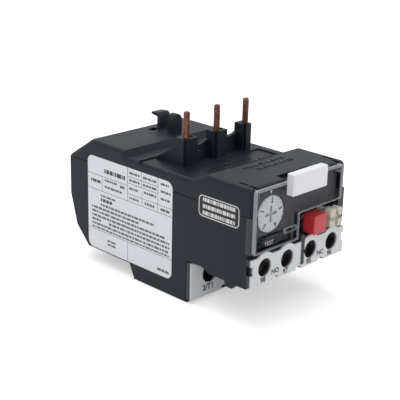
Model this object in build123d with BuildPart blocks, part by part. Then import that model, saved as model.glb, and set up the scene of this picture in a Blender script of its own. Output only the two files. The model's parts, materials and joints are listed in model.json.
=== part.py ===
"""Thermal overload relay, in millimetres.

The relay stands on the flat underside of its power terminal end, with +Z up, the dial side facing -Y
and the three contact pins pointing up. The origin is the middle of its outline, at the resting face.

Places along Y are given as a depth behind the plane of the case's front, and places along Z as a drop
below the top of the raised front part of the case.
"""
import os
from math import cos, pi, sin

from build123d import *

os.makedirs("parts", exist_ok=True)

# Outline of the case, seen from the side
case_width = 45.0
case_depth = 85.7
wall = 1.8
raised_length = 19.0
ramp_length = 6.5
deck_drop = 3.0
rear_step_depth = 55.5
rear_step_run = 1.5
rear_drop = 0.9
roof_length = 17.2
back_chamfer_drop = 8.6
back_foot_drop = 22.9
back_slant_run = 3.2
back_slant_drop = 33.9
belly_run = 9.6
belly_rise = 5.1
foot_back_margin = 7.1
foot_slant_run = 2.5
foot_front_depth = 26.8
overhang_drop = 31.0
skirt_height = 1.3
skirt_foot_front = 5.6
skirt_foot_slant = 1.4
skirt_foot_length = 2.6
skirt_foot_height = 1.6
skirt_back_front = 10.4
skirt_back_step = 0.2
skirt_back_end = 17.0
skirt_end = 19.5
front_edge_radius = 1.8
top_edge_radius = 1.4
side_edge_radius = 0.6

# Lines where the mouldings meet
seam_drop = 9.2
front_seam = 2.0
seam_groove = 0.25
fit_gap = 0.2
moving_gap = 0.3
slide_gap = 0.1
shaft_gap = 0.05
seat_gap = 0.02

# The three poles
pole_side_margin = 1.65
pin_depth = 36.6
pin_radius = 1.05
pin_rise = 15.0
pin_tip = 0.35
pin_root_radius = 0.8
conductor_drop = 11.0
conductor_thickness = 1.2
conductor_width = 4.0
conductor_end_margin = 2.2

# Pin posts on the lid
post_rise = 6.3
post_front = 35.1
post_back = 39.7
post_left = 1.9
post_right = 3.7
end_post_right = 1.6
gusset_thickness = 1.2
gusset_length = 10.0
gusset_rise = 3.0
post_step_width = 2.6
post_step_rise = 1.0
pocket_width = 1.8
pocket_depth = 2.4
web_left_rise = 2.8
web_valley_rise = 2.2
web_valley_offset = 5.9
web_right_rise = 3.7
post_notch_width = 1.0
post_notch_length = 0.8
deck_rib_depth = 49.3
deck_rib_width = 0.7
deck_rib_height = 0.5

# Hook and boss on the rear roof
hook_left = 4.8
hook_width = 4.8
hook_offset = 13.1
hook_web_thickness = 1.6
hook_rise = 4.8
hook_reach = 4.6
hook_lip = 1.0
hook_slot_gap = 0.5
hook_slot_width = 3.2
hook_slot_length = 2.6
boss_left = 3.2
boss_width = 4.4
boss_offset = 5.1
boss_thickness = 2.6
boss_rise = 6.0

# Sunk text field and small openings in the top
field_left_margin = 5.0
field_right_margin = 3.9
field_back = 34.2
field_sink = 0.45
slot_margin = 2.5
slot_width = 0.9
slot_depth = 3.9
slot_length = 3.7
notch_left = -7.2
notch_right = 7.8
notch_length = 4.4
notch_sink = 1.2

# Clear cover and marker plate
cover_left_margin = 0.3
cover_top_drop = 0.3
cover_short_drop = 12.0
cover_long_drop = 20.7
cover_thickness = 0.9
cover_rim = 0.7
cover_rim_depth = 0.2
cover_rib_drop = 16.0
cover_rib_width = 0.5
cover_tab_left = -8.6
cover_tab_width = 5.4
cover_tab_height = 1.5
cover_tab_stand = 0.7
cover_corner_radius = 0.8
hinge_depth = 2.0
hinge_drop = 2.0
hinge_pin_radius = 0.6
hinge_pin_length = 0.9
ear_radius = 1.3
ear_thickness = 0.8
marker_width = 16.5
marker_height = 7.0
marker_thickness = 2.7
marker_rise = 2.5
marker_corner_radius = 0.5
marker_bevel = 0.35

# Front panel
panel_depth = 1.2
panel_thickness = 2.4
panel_top_drop = 2.0
panel_bottom_drop = 20.9
cheek_width = 2.7
recess_left = -1.0
recess_top_drop = 12.5
recess_depth = 4.6
recess_floor = 1.4
recess_wall = 1.2

# Setting dial and its cam
dial_side_margin = 9.8
dial_drop = 10.0
dial_radius = 5.95
dial_depth = 0.9
dial_thickness = 1.3
dial_slot_width = 1.0
dial_slot_length = 5.4
dial_slot_sink = 0.6
dial_bevel = 0.25
dial_shaft_radius = 1.5
dial_boss_radius = 3.0
dial_boss_depth = 7.4
cam_gap = 0.1
cam_thickness = 2.6
cam_small_radius = 2.6
cam_large_radius = 4.2
cam_steps = 16
dial_shaft_end = 11.6

# Stop button
stop_spacing = 7.9
stop_drop = 17.2
stop_width = 6.3
stop_height = 6.4
stop_stand = 3.2
stop_length = 4.6
stop_wall = 0.8
stop_stem_radius = 1.0
stop_stem_end = 13.8
stop_corner_radius = 0.7
stop_edge_radius = 0.4

# Reset knob and plunger
reset_side_margin = 7.5
reset_drop = 16.9
reset_radius = 3.9
reset_lobe_radius = 1.75
reset_stand = 3.4
reset_slot_width = 1.3
reset_slot_sink = 1.0
reset_stem_radius = 1.4
reset_collar_radius = 2.9
reset_collar_length = 0.9
reset_stem_end = 12.4
reset_collar_stand = 0.6
reset_spigot_radius = 0.8
reset_slot_reach = 2.4
knob_edge_radius = 0.4
spring_wire = 0.45
spring_turns = 4
guide_boss_wall = 1.0
guide_boss_end = 10.5

# Test slide
test_drop = 18.7
test_height = 3.4
test_depth = 0.4
test_thickness = 1.4
test_well_margin = 3.1
test_left_gap = 1.8
test_right_gap = 2.4
test_well_top_drop = 16.6
test_finger_length = 4.1
test_tail_width = 1.8
test_tail_depth = 13.6
test_tail_thickness = 1.4
test_tail_top_drop = 9.4
test_finger_gap = 0.85
test_finger_height = 1.6
test_bevel = 0.3
test_bridge_height = 2.0
test_travel = 2.0

# Auxiliary terminals across the front
aux_inner_x = 5.76
aux_side_margin = 6.16
aux_drop = 26.05
aux_hole_radius = 3.0
aux_face_stand = 0.8
aux_flange_thickness = 2.0
aux_top_drop = 22.3
aux_lobe_radius = 5.0
aux_bottom_drop = 31.3
aux_block_depth = 13.0
aux_pocket_depth = 2.4
aux_pocket_width = 7.0
aux_ear_notch = 0.9
aux_ear_height = 3.0
aux_foot_notch_width = 2.4
aux_foot_notch_height = 1.0
aux_bar_depth = 8.4
aux_bar_thickness = 1.0
aux_bar_width = 6.4
aux_bar_top_margin = 3.15
aux_bar_foot_margin = 3.55
aux_rib_gap = 2.0
aux_rib_pitch = 5.0
aux_tongue_width = 3.0
aux_head_radius = 2.6
aux_head_height = 1.9
aux_shank_radius = 1.45
aux_screw_end = 12.3
aux_washer_width = 6.0
aux_washer_thickness = 0.8
divider_offset = 5.3
divider_width = 1.6
divider_bottom_drop = 30.0
divider_stand = 0.5
divider_foot = 0.6

# Power terminals below and behind
power_hole_drop = 5.3
power_hole_radius = 3.4
power_face_depth = 24.5
power_flange_thickness = 2.2
power_block_height = 12.9
foot_margin = 1.4
power_block_end_wall = 4.7
power_pocket_depth = 28.9
power_pocket_width = 9.2
power_plate_depth = 34.7
power_plate_thickness = 1.2
power_plate_width = 8.6
power_plate_top_margin = 1.0
power_plate_foot_margin = 0.9
power_tongue_width = 6.0
power_head_radius = 3.1
power_head_height = 2.4
power_shank_radius = 1.75
power_screw_reach = 4.4
power_washer_width = 7.6
power_washer_thickness = 1.1
power_notch_width = 2.4
power_notch_height = 1.2
power_bevel = 0.3
driver_slot_width = 0.9
driver_slot_sink = 1.0
screw_bevel = 0.4

# Heaters and bimetals
strip_depth = 66.0
strip_width = 7.0
strip_thickness = 0.9
strip_face = 0.6
strip_nose_width = 4.4
strip_nose_height = 3.2
strip_foot_drop = 27.7
strip_tip_drop = 6.3
holder_thickness = 1.2
holder_drop = 28.0
holder_length = 9.0
holder_width = 6.0
holder_lug_rise = 5.0
holder_inset = 0.7
heater_strip_width = 1.6
heater_strip_thickness = 0.5
heater_left = 2.5
heater_right = 1.9
heater_margin = 1.1
heater_lead_width = 1.8
heater_top_drop = 13.0
heater_pitch = 2.7
heater_turns = 3
chamber_gap = 1.0
rib_thickness = 2.0

# Slides that gather the three bimetals
slide_left_margin = 6.0
return_slide_left_margin = 4.3
slide_corner_radius = 0.8
slide_right_margin = 4.1
slide_width = 12.0
slide_thickness = 1.0
lower_slide_drop = 8.2
slide_window_length = 7.8
trip_window_left = 0.6
trip_window_right = 2.7
return_window_left = 2.6
return_window_right = 1.3
shelf_gap = 1.6
shelf_thickness = 1.7
peg_side_margin = 7.0
peg_radius = 0.6
peg_spacing = 10.0
peg_slot_length = 2.6
link_width = 1.8
link_nose_inset = 0.3
link_nose_length = 1.6

# Compensation lever along the left wall
lever_side_margin = 4.35
lever_thickness = 0.9
lever_pivot_depth = 31.0
lever_pin_radius = 1.0
lever_hub_radius = 2.0
lever_top_drop = 5.6
lever_bottom_drop = 8.0
lever_front_depth = 16.0
lever_tail_length = 6.6
comp_strip_thickness = 0.7
comp_strip_gap = 2.4
comp_strip_overhang = 2.4
follower_depth = 9.2
follower_offset = 4.5
follower_radius = 0.6
pin_head_radius = 1.7
pin_head_height = 0.5
bracket_thickness = 1.7
bracket_width = 5.4
bracket_length = 5.6

# Trip rocker and contact blades
rocker_offset = 2.4
rocker_arm_gap = 0.5
rocker_drop = 13.0
rocker_pin_radius = 1.0
rocker_hub_radius = 2.2
rocker_depth = 13.4
rocker_thickness = 2.0
rocker_arm_width = 1.8
rocker_top_drop = 6.2
rocker_bar_drop = 19.4
rocker_bar_height = 1.6
finger_radius = 0.6
blade_thickness = 0.3
blade_depth = 17.0
blade_width = 4.0
blade_foot_rise = 0.3
blade_tip_drop = 14.2
contact_drop = 15.6
contact_radius = 1.0
contact_height = 0.7
fixed_contact_height = 1.4
no_blade_offset = 0.69
nc_blade_offset = 1.39
contact_gap = 1.2
lug_rise = 1.2
post_plate_thickness = 0.8

# Labels on the left side
label_front = 33.7
label_back = 75.8
label_top_drop = 6.2
label_bottom_drop = 39.8
label_radius = 2.5
label_thickness = 0.25
seal_front = 4.4
seal_back = 22.4
seal_bottom_drop = 14.1
seal_radius = 1.5

# Places worked out from the sizes above
half_width = case_width / 2
inner_half = half_width - wall
power_top_drop = overhang_drop + fit_gap
power_bottom_drop = power_top_drop + power_block_height
power_drop = power_top_drop + power_hole_drop
power_plate_top_drop = power_top_drop + power_plate_top_margin
power_plate_bottom_drop = power_bottom_drop - power_plate_foot_margin
case_height = power_bottom_drop + foot_margin
belly_drop = case_height - belly_rise
boss_depth = rear_step_depth + boss_offset
hook_web_depth = rear_step_depth + hook_offset
aux_bar_top_drop = aux_drop - aux_bar_top_margin
aux_bar_bottom_drop = aux_drop + aux_bar_foot_margin
blade_foot_drop = aux_bar_top_drop - blade_foot_rise
power_plate_back = power_plate_depth + power_plate_thickness
power_screw_end = power_plate_back + power_screw_reach
power_block_depth = power_screw_end + power_block_end_wall
skirt_drop = overhang_drop + skirt_height
chamber_wall_depth = power_block_depth + chamber_gap
foot_back_depth = power_block_depth + foot_back_margin
cover_gap = moving_gap
cover_face = cover_gap + cover_thickness
face_stand = cover_face + marker_thickness
front = (face_stand - case_depth) / 2
pole_pitch = (case_width - 2 * pole_side_margin) / 3
shelf_width = inner_half - pole_pitch - shelf_gap
pole_places = [-pole_pitch, 0.0, pole_pitch]
aux_outer_x = half_width - aux_side_margin
aux_places = {98: -aux_outer_x, 97: -aux_inner_x, 95: aux_inner_x, 96: aux_outer_x}
panel_back = panel_depth + panel_thickness
panel_left = -inner_half + fit_gap
panel_right = half_width - cheek_width - fit_gap
field_left = field_left_margin - half_width
field_right = half_width - field_right_margin
slot_x = half_width - slot_margin
cover_left = cover_left_margin - half_width
cover_right = panel_right
cover_step_x = recess_left - moving_gap
dial_x = dial_side_margin - half_width
reset_x = half_width - reset_side_margin
stop_x = reset_x - stop_spacing
divider_x = stop_x - divider_offset
follower_x = dial_x + follower_offset
no_blade_x = -aux_inner_x - no_blade_offset
no_finger_x = no_blade_x + blade_thickness / 2 + moving_gap + finger_radius
rocker_x = no_finger_x + rocker_offset
nc_blade_x = aux_inner_x + nc_blade_offset
test_well_left = test_well_margin - half_width
test_well_right = recess_left - recess_wall
test_left = test_well_left + test_left_gap
test_right = test_well_right - test_right_gap
test_finger_tip = no_blade_x - test_finger_gap
test_tail_left = test_finger_tip - test_finger_length
slide_left = slide_left_margin - half_width
return_slide_left = return_slide_left_margin - half_width
slide_right = half_width - slide_right_margin
peg_x = peg_side_margin - half_width
lever_x = lever_side_margin - half_width
lever_arm_end = rocker_x - rocker_arm_width - rocker_arm_gap
comp_strip_front = lever_pivot_depth + comp_strip_gap
comp_strip_back = strip_depth + comp_strip_overhang
lever_back_depth = comp_strip_front + lever_tail_length
upper_slide_drop = lower_slide_drop - slide_thickness - slide_gap
shelf_drop = lower_slide_drop + slide_thickness + slide_gap
link_drop = upper_slide_drop - slide_thickness - slide_gap
roof_end = rear_step_depth + rear_step_run + roof_length


def behind(depth):
    """Y of a plane that lies this far behind the case's front."""
    return front + depth


def below(drop):
    """Z of a level that lies this far below the top of the raised front."""
    return case_height - drop


def facing(depth):
    """Upright plane across the relay, this far behind the front and looking out of it."""
    return Plane.XZ.offset(-behind(depth))


def level(drop):
    """Level plane this far below the top."""
    return Plane.XY.offset(below(drop))


def across(x):
    """Upright plane along the relay at this X, looking towards +X."""
    return Plane.YZ.offset(x)


def side_points(pairs):
    """Turns pairs of depth and drop into points of a plane made by across."""
    return [(behind(depth), below(drop)) for depth, drop in pairs]


def span(x0, x1, depth0, depth1, drop0, drop1, mode=Mode.ADD):
    """Adds or cuts a straight wall between two X places, two depths and two drops."""
    middle = ((x0 + x1) / 2, behind((depth0 + depth1) / 2), below((drop0 + drop1) / 2))
    with Locations(middle):
        Box(abs(x1 - x0), abs(depth1 - depth0), abs(drop1 - drop0), mode=mode)


def rod(x, drop, radius, depth0, depth1, mode=Mode.ADD):
    """Adds or cuts a round bar along Y from one depth to a deeper one."""
    with BuildSketch(facing(depth0)) as disc:
        with Locations((x, below(drop))):
            Circle(radius)
    extrude(disc.sketch, amount=-(depth1 - depth0), mode=mode)


def post(x, depth, radius, drop0, drop1, mode=Mode.ADD):
    """Adds or cuts a round bar along Z from one drop to a lower one."""
    with BuildSketch(level(drop1)) as disc:
        with Locations((x, behind(depth))):
            Circle(radius)
    extrude(disc.sketch, amount=drop1 - drop0, mode=mode)


# The outer form of the case, before it is divided into lid and base
case_outline = side_points([
    (0, 0),
    (raised_length, 0),
    (raised_length + ramp_length, deck_drop),
    (rear_step_depth, deck_drop),
    (rear_step_depth + rear_step_run, rear_drop),
    (roof_end, rear_drop),
    (case_depth, back_chamfer_drop),
    (case_depth, back_foot_drop),
    (case_depth - back_slant_run, back_slant_drop),
    (case_depth - belly_run, belly_drop),
    (foot_back_depth + foot_slant_run, belly_drop),
    (foot_back_depth, case_height),
    (foot_front_depth, case_height),
    (foot_front_depth, overhang_drop),
    (0, overhang_drop),
])

with BuildPart() as case_block:
    with BuildSketch(Plane.YZ):
        with BuildLine():
            Polyline(*case_outline, close=True)
        make_face()
    extrude(amount=half_width, both=True)
    front_top = case_block.edges().filter_by(Axis.X).sort_by_distance((0, front, case_height))[0]
    fillet(front_top, front_edge_radius)
    sides = case_block.faces().filter_by(Axis.X)
    upper = [e for f in sides for e in f.edges() if e.center().Z > below(seam_drop)]
    fillet(upper, top_edge_radius)
    sides = case_block.faces().filter_by(Axis.X)
    lower = [e for f in sides for e in f.edges() if e.center().Z < below(seam_drop)]
    lower = [e for e in lower if e.center().Y > behind(front_seam) and e.length > side_edge_radius]
    fillet(lower, side_edge_radius)

with BuildPart() as case_hollow:
    with BuildSketch(Plane.YZ):
        with BuildLine():
            Polyline(*case_outline, close=True)
        make_face()
        offset(amount=-wall, kind=Kind.INTERSECTION)
    extrude(amount=inner_half, both=True)


def label_recess(depth0, depth1, drop0, drop1, radius, thickness):
    """Cuts a shallow rounded recess for a label into the left side."""
    with BuildSketch(across(-half_width)) as outline:
        with Locations((behind((depth0 + depth1) / 2), below((drop0 + drop1) / 2))):
            RectangleRounded(depth1 - depth0, drop1 - drop0, radius)
    extrude(outline.sketch, amount=thickness, mode=Mode.SUBTRACT)


def both_labels():
    """Cuts the recesses of the rating label and the seal sticker."""
    label_recess(label_front, label_back, label_top_drop, label_bottom_drop, label_radius, label_thickness)
    label_recess(seal_front, seal_back, label_top_drop, seal_bottom_drop, seal_radius, label_thickness)


def pin_post(x, right, step):
    """One pin post with its pocket and sloping gusset; the end post also has a low step."""
    span(x - post_left, x + right, post_front, post_back, deck_drop + wall / 2, -post_rise)
    if step:
        span(x + right, x + right + post_step_width, post_front + 1, post_back,
             deck_drop + wall / 2, -post_step_rise)
    with BuildSketch(across(x - post_left)) as gusset:
        with BuildLine():
            Polyline(*side_points([
                (post_back - 1, -gusset_rise), (post_back, -gusset_rise),
                (post_back + gusset_length, deck_drop), (post_back + gusset_length, deck_drop + wall / 2),
                (post_back - 1, deck_drop + wall / 2),
            ]), close=True)
        make_face()
    extrude(gusset.sketch, amount=gusset_thickness)


def pin_post_openings(x, right):
    """The pin's own hole, the notched corner, and the pocket beside the pin that keeps the wall even."""
    post(x, pin_depth, pin_root_radius + shaft_gap, -post_rise - 1, deck_drop + wall + 1, mode=Mode.SUBTRACT)
    span(x - post_left - 1, x - post_left + post_notch_width, post_front - 1, post_front + post_notch_length,
         -post_rise - 1, deck_drop, mode=Mode.SUBTRACT)
    if right > post_left:
        span(x + right - pocket_width - 0.5, x + right - 0.5, pin_depth - 0.4, post_back - 0.8,
             -post_rise - 1, pocket_depth - post_rise, mode=Mode.SUBTRACT)


def lid_hook():
    """The hook that catches the contactor's housing, with its lip towards the back."""
    with BuildSketch(across(hook_left)) as outline:
        with BuildLine():
            tip = (hook_web_depth + hook_reach, hook_lip - hook_rise)
            Polyline(*side_points([
                (hook_web_depth, rear_drop + 1), (hook_web_depth, -hook_rise + hook_lip),
                (hook_web_depth + hook_lip, -hook_rise), (tip[0], -hook_rise + 0.3),
                (tip[0], -hook_rise + hook_lip), (hook_web_depth + hook_web_thickness, -hook_rise + 1.6),
                (hook_web_depth + hook_web_thickness, rear_drop + 1),
            ]), close=True)
        make_face()
    extrude(outline.sketch, amount=hook_width)


def arched_boss():
    """The round-headed stop in front of the hook."""
    with BuildSketch(facing(boss_depth)) as outline:
        middle = boss_left + boss_width / 2
        with BuildLine():
            shoulder = below(boss_width / 2 - boss_rise)
            foot = below(rear_drop + 1)
            Line((middle - boss_width / 2, foot), (middle - boss_width / 2, shoulder))
            ThreePointArc((middle - boss_width / 2, shoulder), (middle, below(-boss_rise)),
                          (middle + boss_width / 2, shoulder))
            Line((middle + boss_width / 2, shoulder), (middle + boss_width / 2, foot))
            Line((middle + boss_width / 2, foot), (middle - boss_width / 2, foot))
        make_face()
    extrude(outline.sketch, amount=-boss_thickness)


ear_places = [panel_left, cover_right - ear_thickness]

with BuildPart() as case_lid:
    add(case_block.part)
    split(bisect_by=level(seam_drop), keep=Keep.TOP)
    add(case_hollow.part, mode=Mode.SUBTRACT)
    span(half_width - cheek_width, inner_half, 0, panel_back + fit_gap, wall, seam_drop)
    span(-inner_half, half_width - cheek_width, -1, wall + 1, wall, seam_drop + 1, mode=Mode.SUBTRACT)
    for pole_x in pole_places:
        pin_post(pole_x, end_post_right if pole_x > 0 else post_right, pole_x < 0)
    for pole_x in pole_places[:2]:
        with BuildSketch(facing(post_back - gusset_thickness)):
            with BuildLine():
                left = pole_x + post_right - 0.5
                right = pole_x + pole_pitch - post_left + 0.5
                foot = below(deck_drop + 1)
                ThreePointArc((left, below(-web_left_rise)),
                              (pole_x + pole_pitch - web_valley_offset, below(-web_valley_rise)),
                              (right, below(-web_right_rise)))
                Polyline((right, below(-web_right_rise)), (right, foot), (left, foot),
                         (left, below(-web_left_rise)))
            make_face()
        extrude(amount=-gusset_thickness)
    for pole_x in pole_places:
        pin_post_openings(pole_x, end_post_right if pole_x > 0 else post_right)
    lid_hook()
    arched_boss()
    span(-half_width, pole_places[0] - post_left, deck_rib_depth, deck_rib_depth + deck_rib_width,
         deck_drop - deck_rib_height, deck_drop + wall / 2)
    hook_slot_right = hook_left - hook_slot_gap
    span(hook_slot_right - hook_slot_width, hook_slot_right, hook_web_depth,
         hook_web_depth + hook_slot_length, -1, rear_drop + wall + 1, mode=Mode.SUBTRACT)
    with BuildSketch(across(field_left)):
        with BuildLine():
            Polyline(*side_points([
                (raised_length, -1), (raised_length, field_sink * 0.2),
                (raised_length + ramp_length, deck_drop + field_sink),
                (field_back, deck_drop + field_sink), (field_back, -1),
            ]), close=True)
        make_face()
    extrude(amount=field_right - field_left, mode=Mode.SUBTRACT)
    for slot_middle in (-slot_x, slot_x):
        span(slot_middle - slot_width / 2, slot_middle + slot_width / 2, slot_depth,
             slot_depth + slot_length, -1, wall + 1, mode=Mode.SUBTRACT)
    span(notch_left, notch_right, -1, notch_length, -1, notch_sink, mode=Mode.SUBTRACT)
    for ear_x in ear_places:
        span(ear_x - fit_gap, ear_x + ear_thickness + fit_gap, -1, hinge_depth + ear_radius + fit_gap,
             -1, hinge_drop + ear_radius + fit_gap, mode=Mode.SUBTRACT)
    hinge_bore_length = hinge_pin_length + fit_gap
    for bore_x, side in ((panel_left, -1), (cover_right, 1)):
        with BuildSketch(across(bore_x)):
            with Locations((behind(hinge_depth), below(hinge_drop))):
                Circle(hinge_pin_radius + shaft_gap)
        extrude(amount=side * (hinge_bore_length + fit_gap), mode=Mode.SUBTRACT)
    both_labels()
    with BuildSketch(level(seam_drop)):
        with Locations((0, behind(case_depth / 2))):
            Rectangle(case_width + 2, case_depth + 2)
            Rectangle(case_width - 2 * seam_groove, case_depth - 2 * seam_groove, mode=Mode.SUBTRACT)
    extrude(amount=seam_groove, mode=Mode.SUBTRACT)

case_lid.part.label = "case_lid"
export_step(case_lid.part, "parts/case_lid.step")

aux_seam_depth = aux_flange_thickness - aux_face_stand + slide_gap
aux_block_end = aux_block_depth + fit_gap
partition_depth = foot_front_depth - rib_thickness - fit_gap
floor_drop = overhang_drop - wall
aux_shelf_drop = aux_bar_top_drop + aux_bar_thickness
rib_top_drop = holder_drop + holder_thickness
belly_floor_drop = belly_drop - wall
foot_floor_drop = case_height - wall
conductor_floor = conductor_drop + conductor_thickness
heater_front = strip_depth - strip_width / 2 - heater_margin
heater_back = strip_depth + strip_width / 2 + heater_margin
holder_front = heater_front + heater_strip_thickness + moving_gap + holder_inset
skirt_foot_start = skirt_foot_front + skirt_foot_slant
skirt_foot_drop = skirt_drop + skirt_foot_height
skirt_back_drop = skirt_drop - skirt_back_step

with BuildPart() as case_base:
    add(case_block.part)
    split(bisect_by=level(seam_drop), keep=Keep.BOTTOM)
    add(case_hollow.part, mode=Mode.SUBTRACT)
    span(-half_width - 1, half_width + 1, -1, aux_seam_depth, seam_drop - 1, skirt_drop + 3,
         mode=Mode.SUBTRACT)
    span(-inner_half, inner_half, -1, wall + 0.1, seam_drop - 1, skirt_drop + 3, mode=Mode.SUBTRACT)
    span(-half_width - 1, half_width + 1, -1, front_seam, seam_drop - 1, panel_bottom_drop + slide_gap,
         mode=Mode.SUBTRACT)
    for side in (-1, 1):
        inner = side * (inner_half + fit_gap / 2)
        with BuildSketch(across(min(inner, side * half_width))):
            with BuildLine():
                Polyline(*side_points([
                    (aux_seam_depth, overhang_drop - wall), (aux_seam_depth, skirt_drop),
                    (skirt_foot_front, skirt_drop), (skirt_foot_start, skirt_foot_drop),
                    (skirt_foot_start + skirt_foot_length, skirt_foot_drop),
                    (skirt_back_front, skirt_back_drop), (skirt_back_end, skirt_back_drop),
                    (skirt_end, overhang_drop - fit_gap), (skirt_end, overhang_drop - wall),
                ]), close=True)
            make_face()
        extrude(amount=half_width - abs(inner))
    span(-inner_half, inner_half, -1, aux_block_end, floor_drop - 0.5, skirt_drop + 3, mode=Mode.SUBTRACT)
    span(-inner_half, inner_half, partition_depth, partition_depth + rib_thickness, conductor_drop,
         floor_drop)
    for rib_depth in (aux_block_end + aux_rib_gap, aux_block_end + aux_rib_gap + aux_rib_pitch):
        span(-inner_half, inner_half, rib_depth, rib_depth + rib_thickness, floor_drop, aux_shelf_drop)
    span(-inner_half - 0.1, inner_half + 0.1, foot_front_depth - 1, foot_front_depth + wall + 0.5,
         power_top_drop - fit_gap, foot_floor_drop, mode=Mode.SUBTRACT)
    span(-inner_half, inner_half, chamber_wall_depth, chamber_wall_depth + rib_thickness,
         conductor_floor, foot_floor_drop)
    for pole_x in pole_places:
        span(pole_x - power_tongue_width / 2 - fit_gap, pole_x + power_tongue_width / 2 + fit_gap,
             chamber_wall_depth - 1, chamber_wall_depth + rib_thickness + 1, power_plate_top_drop,
             power_plate_top_drop + power_plate_thickness, mode=Mode.SUBTRACT)
        span(pole_x - power_pocket_width / 2, pole_x + power_pocket_width / 2, power_pocket_depth,
             power_plate_depth, foot_floor_drop - 1, case_height + 1, mode=Mode.SUBTRACT)
    for rib_depth in (holder_front, holder_front + holder_length - rib_thickness):
        span(-inner_half, inner_half, rib_depth, rib_depth + rib_thickness, rib_top_drop, belly_floor_drop)
    for side in (-1, 1):
        edge = side * inner_half
        span(edge, edge - side * shelf_width, strip_depth - slide_width / 2 - 1,
             strip_depth + slide_width / 2 + 1, shelf_drop, shelf_drop + shelf_thickness)
    span(-inner_half, -inner_half + bracket_width, lever_pivot_depth - bracket_length / 2,
         lever_pivot_depth + bracket_length / 2, lever_bottom_drop + moving_gap,
         lever_bottom_drop + moving_gap + bracket_thickness)
    post(lever_x, lever_pivot_depth, lever_pin_radius, lever_bottom_drop,
         lever_bottom_drop + moving_gap + bracket_thickness + 1, mode=Mode.SUBTRACT)
    both_labels()

case_base.part.label = "case_base"
export_step(case_base.part, "parts/case_base.step")

with BuildPart() as front_panel:
    span(panel_left, panel_right, panel_depth, panel_back, panel_top_drop, panel_bottom_drop)
    span(-half_width, panel_left + 1, 0, front_seam, seam_drop, panel_bottom_drop)
    span(panel_right - 1, half_width, panel_depth, front_seam, seam_drop, panel_bottom_drop)
    span(half_width - cheek_width, half_width, 0, front_seam, seam_drop, panel_bottom_drop)
    span(recess_left - recess_wall, inner_half - fit_gap, panel_back - 0.5, recess_depth + recess_floor,
         recess_top_drop - recess_wall, panel_bottom_drop)
    rod(dial_x, dial_drop, dial_boss_radius, panel_back - 1, dial_boss_depth)
    rod(rocker_x, rocker_drop, rocker_hub_radius, panel_back - 1, rocker_depth - moving_gap)
    for guide_x, guide_drop, stem in ((stop_x, stop_drop, stop_stem_radius),
                                      (reset_x, reset_drop, reset_stem_radius)):
        rod(guide_x, guide_drop, stem + shaft_gap + guide_boss_wall, recess_depth + 0.5, guide_boss_end)
    span(recess_left, half_width - cheek_width, -1, recess_depth, recess_top_drop,
         panel_bottom_drop + 0.05, mode=Mode.SUBTRACT)
    divider_left = divider_x - divider_width / 2
    span(divider_left, divider_left + divider_width, -divider_stand, recess_depth + 0.1,
         panel_bottom_drop - divider_foot, panel_bottom_drop)
    span(divider_left, divider_left + divider_width, -divider_stand, panel_depth,
         panel_bottom_drop - divider_foot, divider_bottom_drop)
    span(test_well_left, test_well_right, -1, test_depth + test_thickness + fit_gap,
         test_well_top_drop, panel_bottom_drop + 1, mode=Mode.SUBTRACT)
    span(test_tail_left - moving_gap, test_tail_left + test_tail_width + test_travel + moving_gap,
         panel_depth - 1, panel_back + 1, test_drop - test_bridge_height / 2 - moving_gap,
         test_drop + test_bridge_height / 2 + moving_gap, mode=Mode.SUBTRACT)
    rod(dial_x, dial_drop, dial_radius + fit_gap, panel_depth - 1,
        dial_depth + dial_thickness + fit_gap, mode=Mode.SUBTRACT)
    rod(dial_x, dial_drop, dial_shaft_radius + shaft_gap, panel_depth, dial_boss_depth + 1,
        mode=Mode.SUBTRACT)
    rod(rocker_x, rocker_drop, rocker_pin_radius, recess_depth + recess_floor, rocker_depth,
        mode=Mode.SUBTRACT)
    for guide_x, guide_drop, stem in ((stop_x, stop_drop, stop_stem_radius),
                                      (reset_x, reset_drop, reset_stem_radius)):
        rod(guide_x, guide_drop, stem + shaft_gap, recess_depth - 1, guide_boss_end + 1,
            mode=Mode.SUBTRACT)
    for ear_x in ear_places:
        span(ear_x - 1, ear_x + ear_thickness + fit_gap, panel_depth - 1, panel_back + 1,
             panel_top_drop - 1, hinge_drop + ear_radius + moving_gap, mode=Mode.SUBTRACT)

front_panel.part.label = "front_panel"
export_step(front_panel.part, "parts/front_panel.step")

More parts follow.
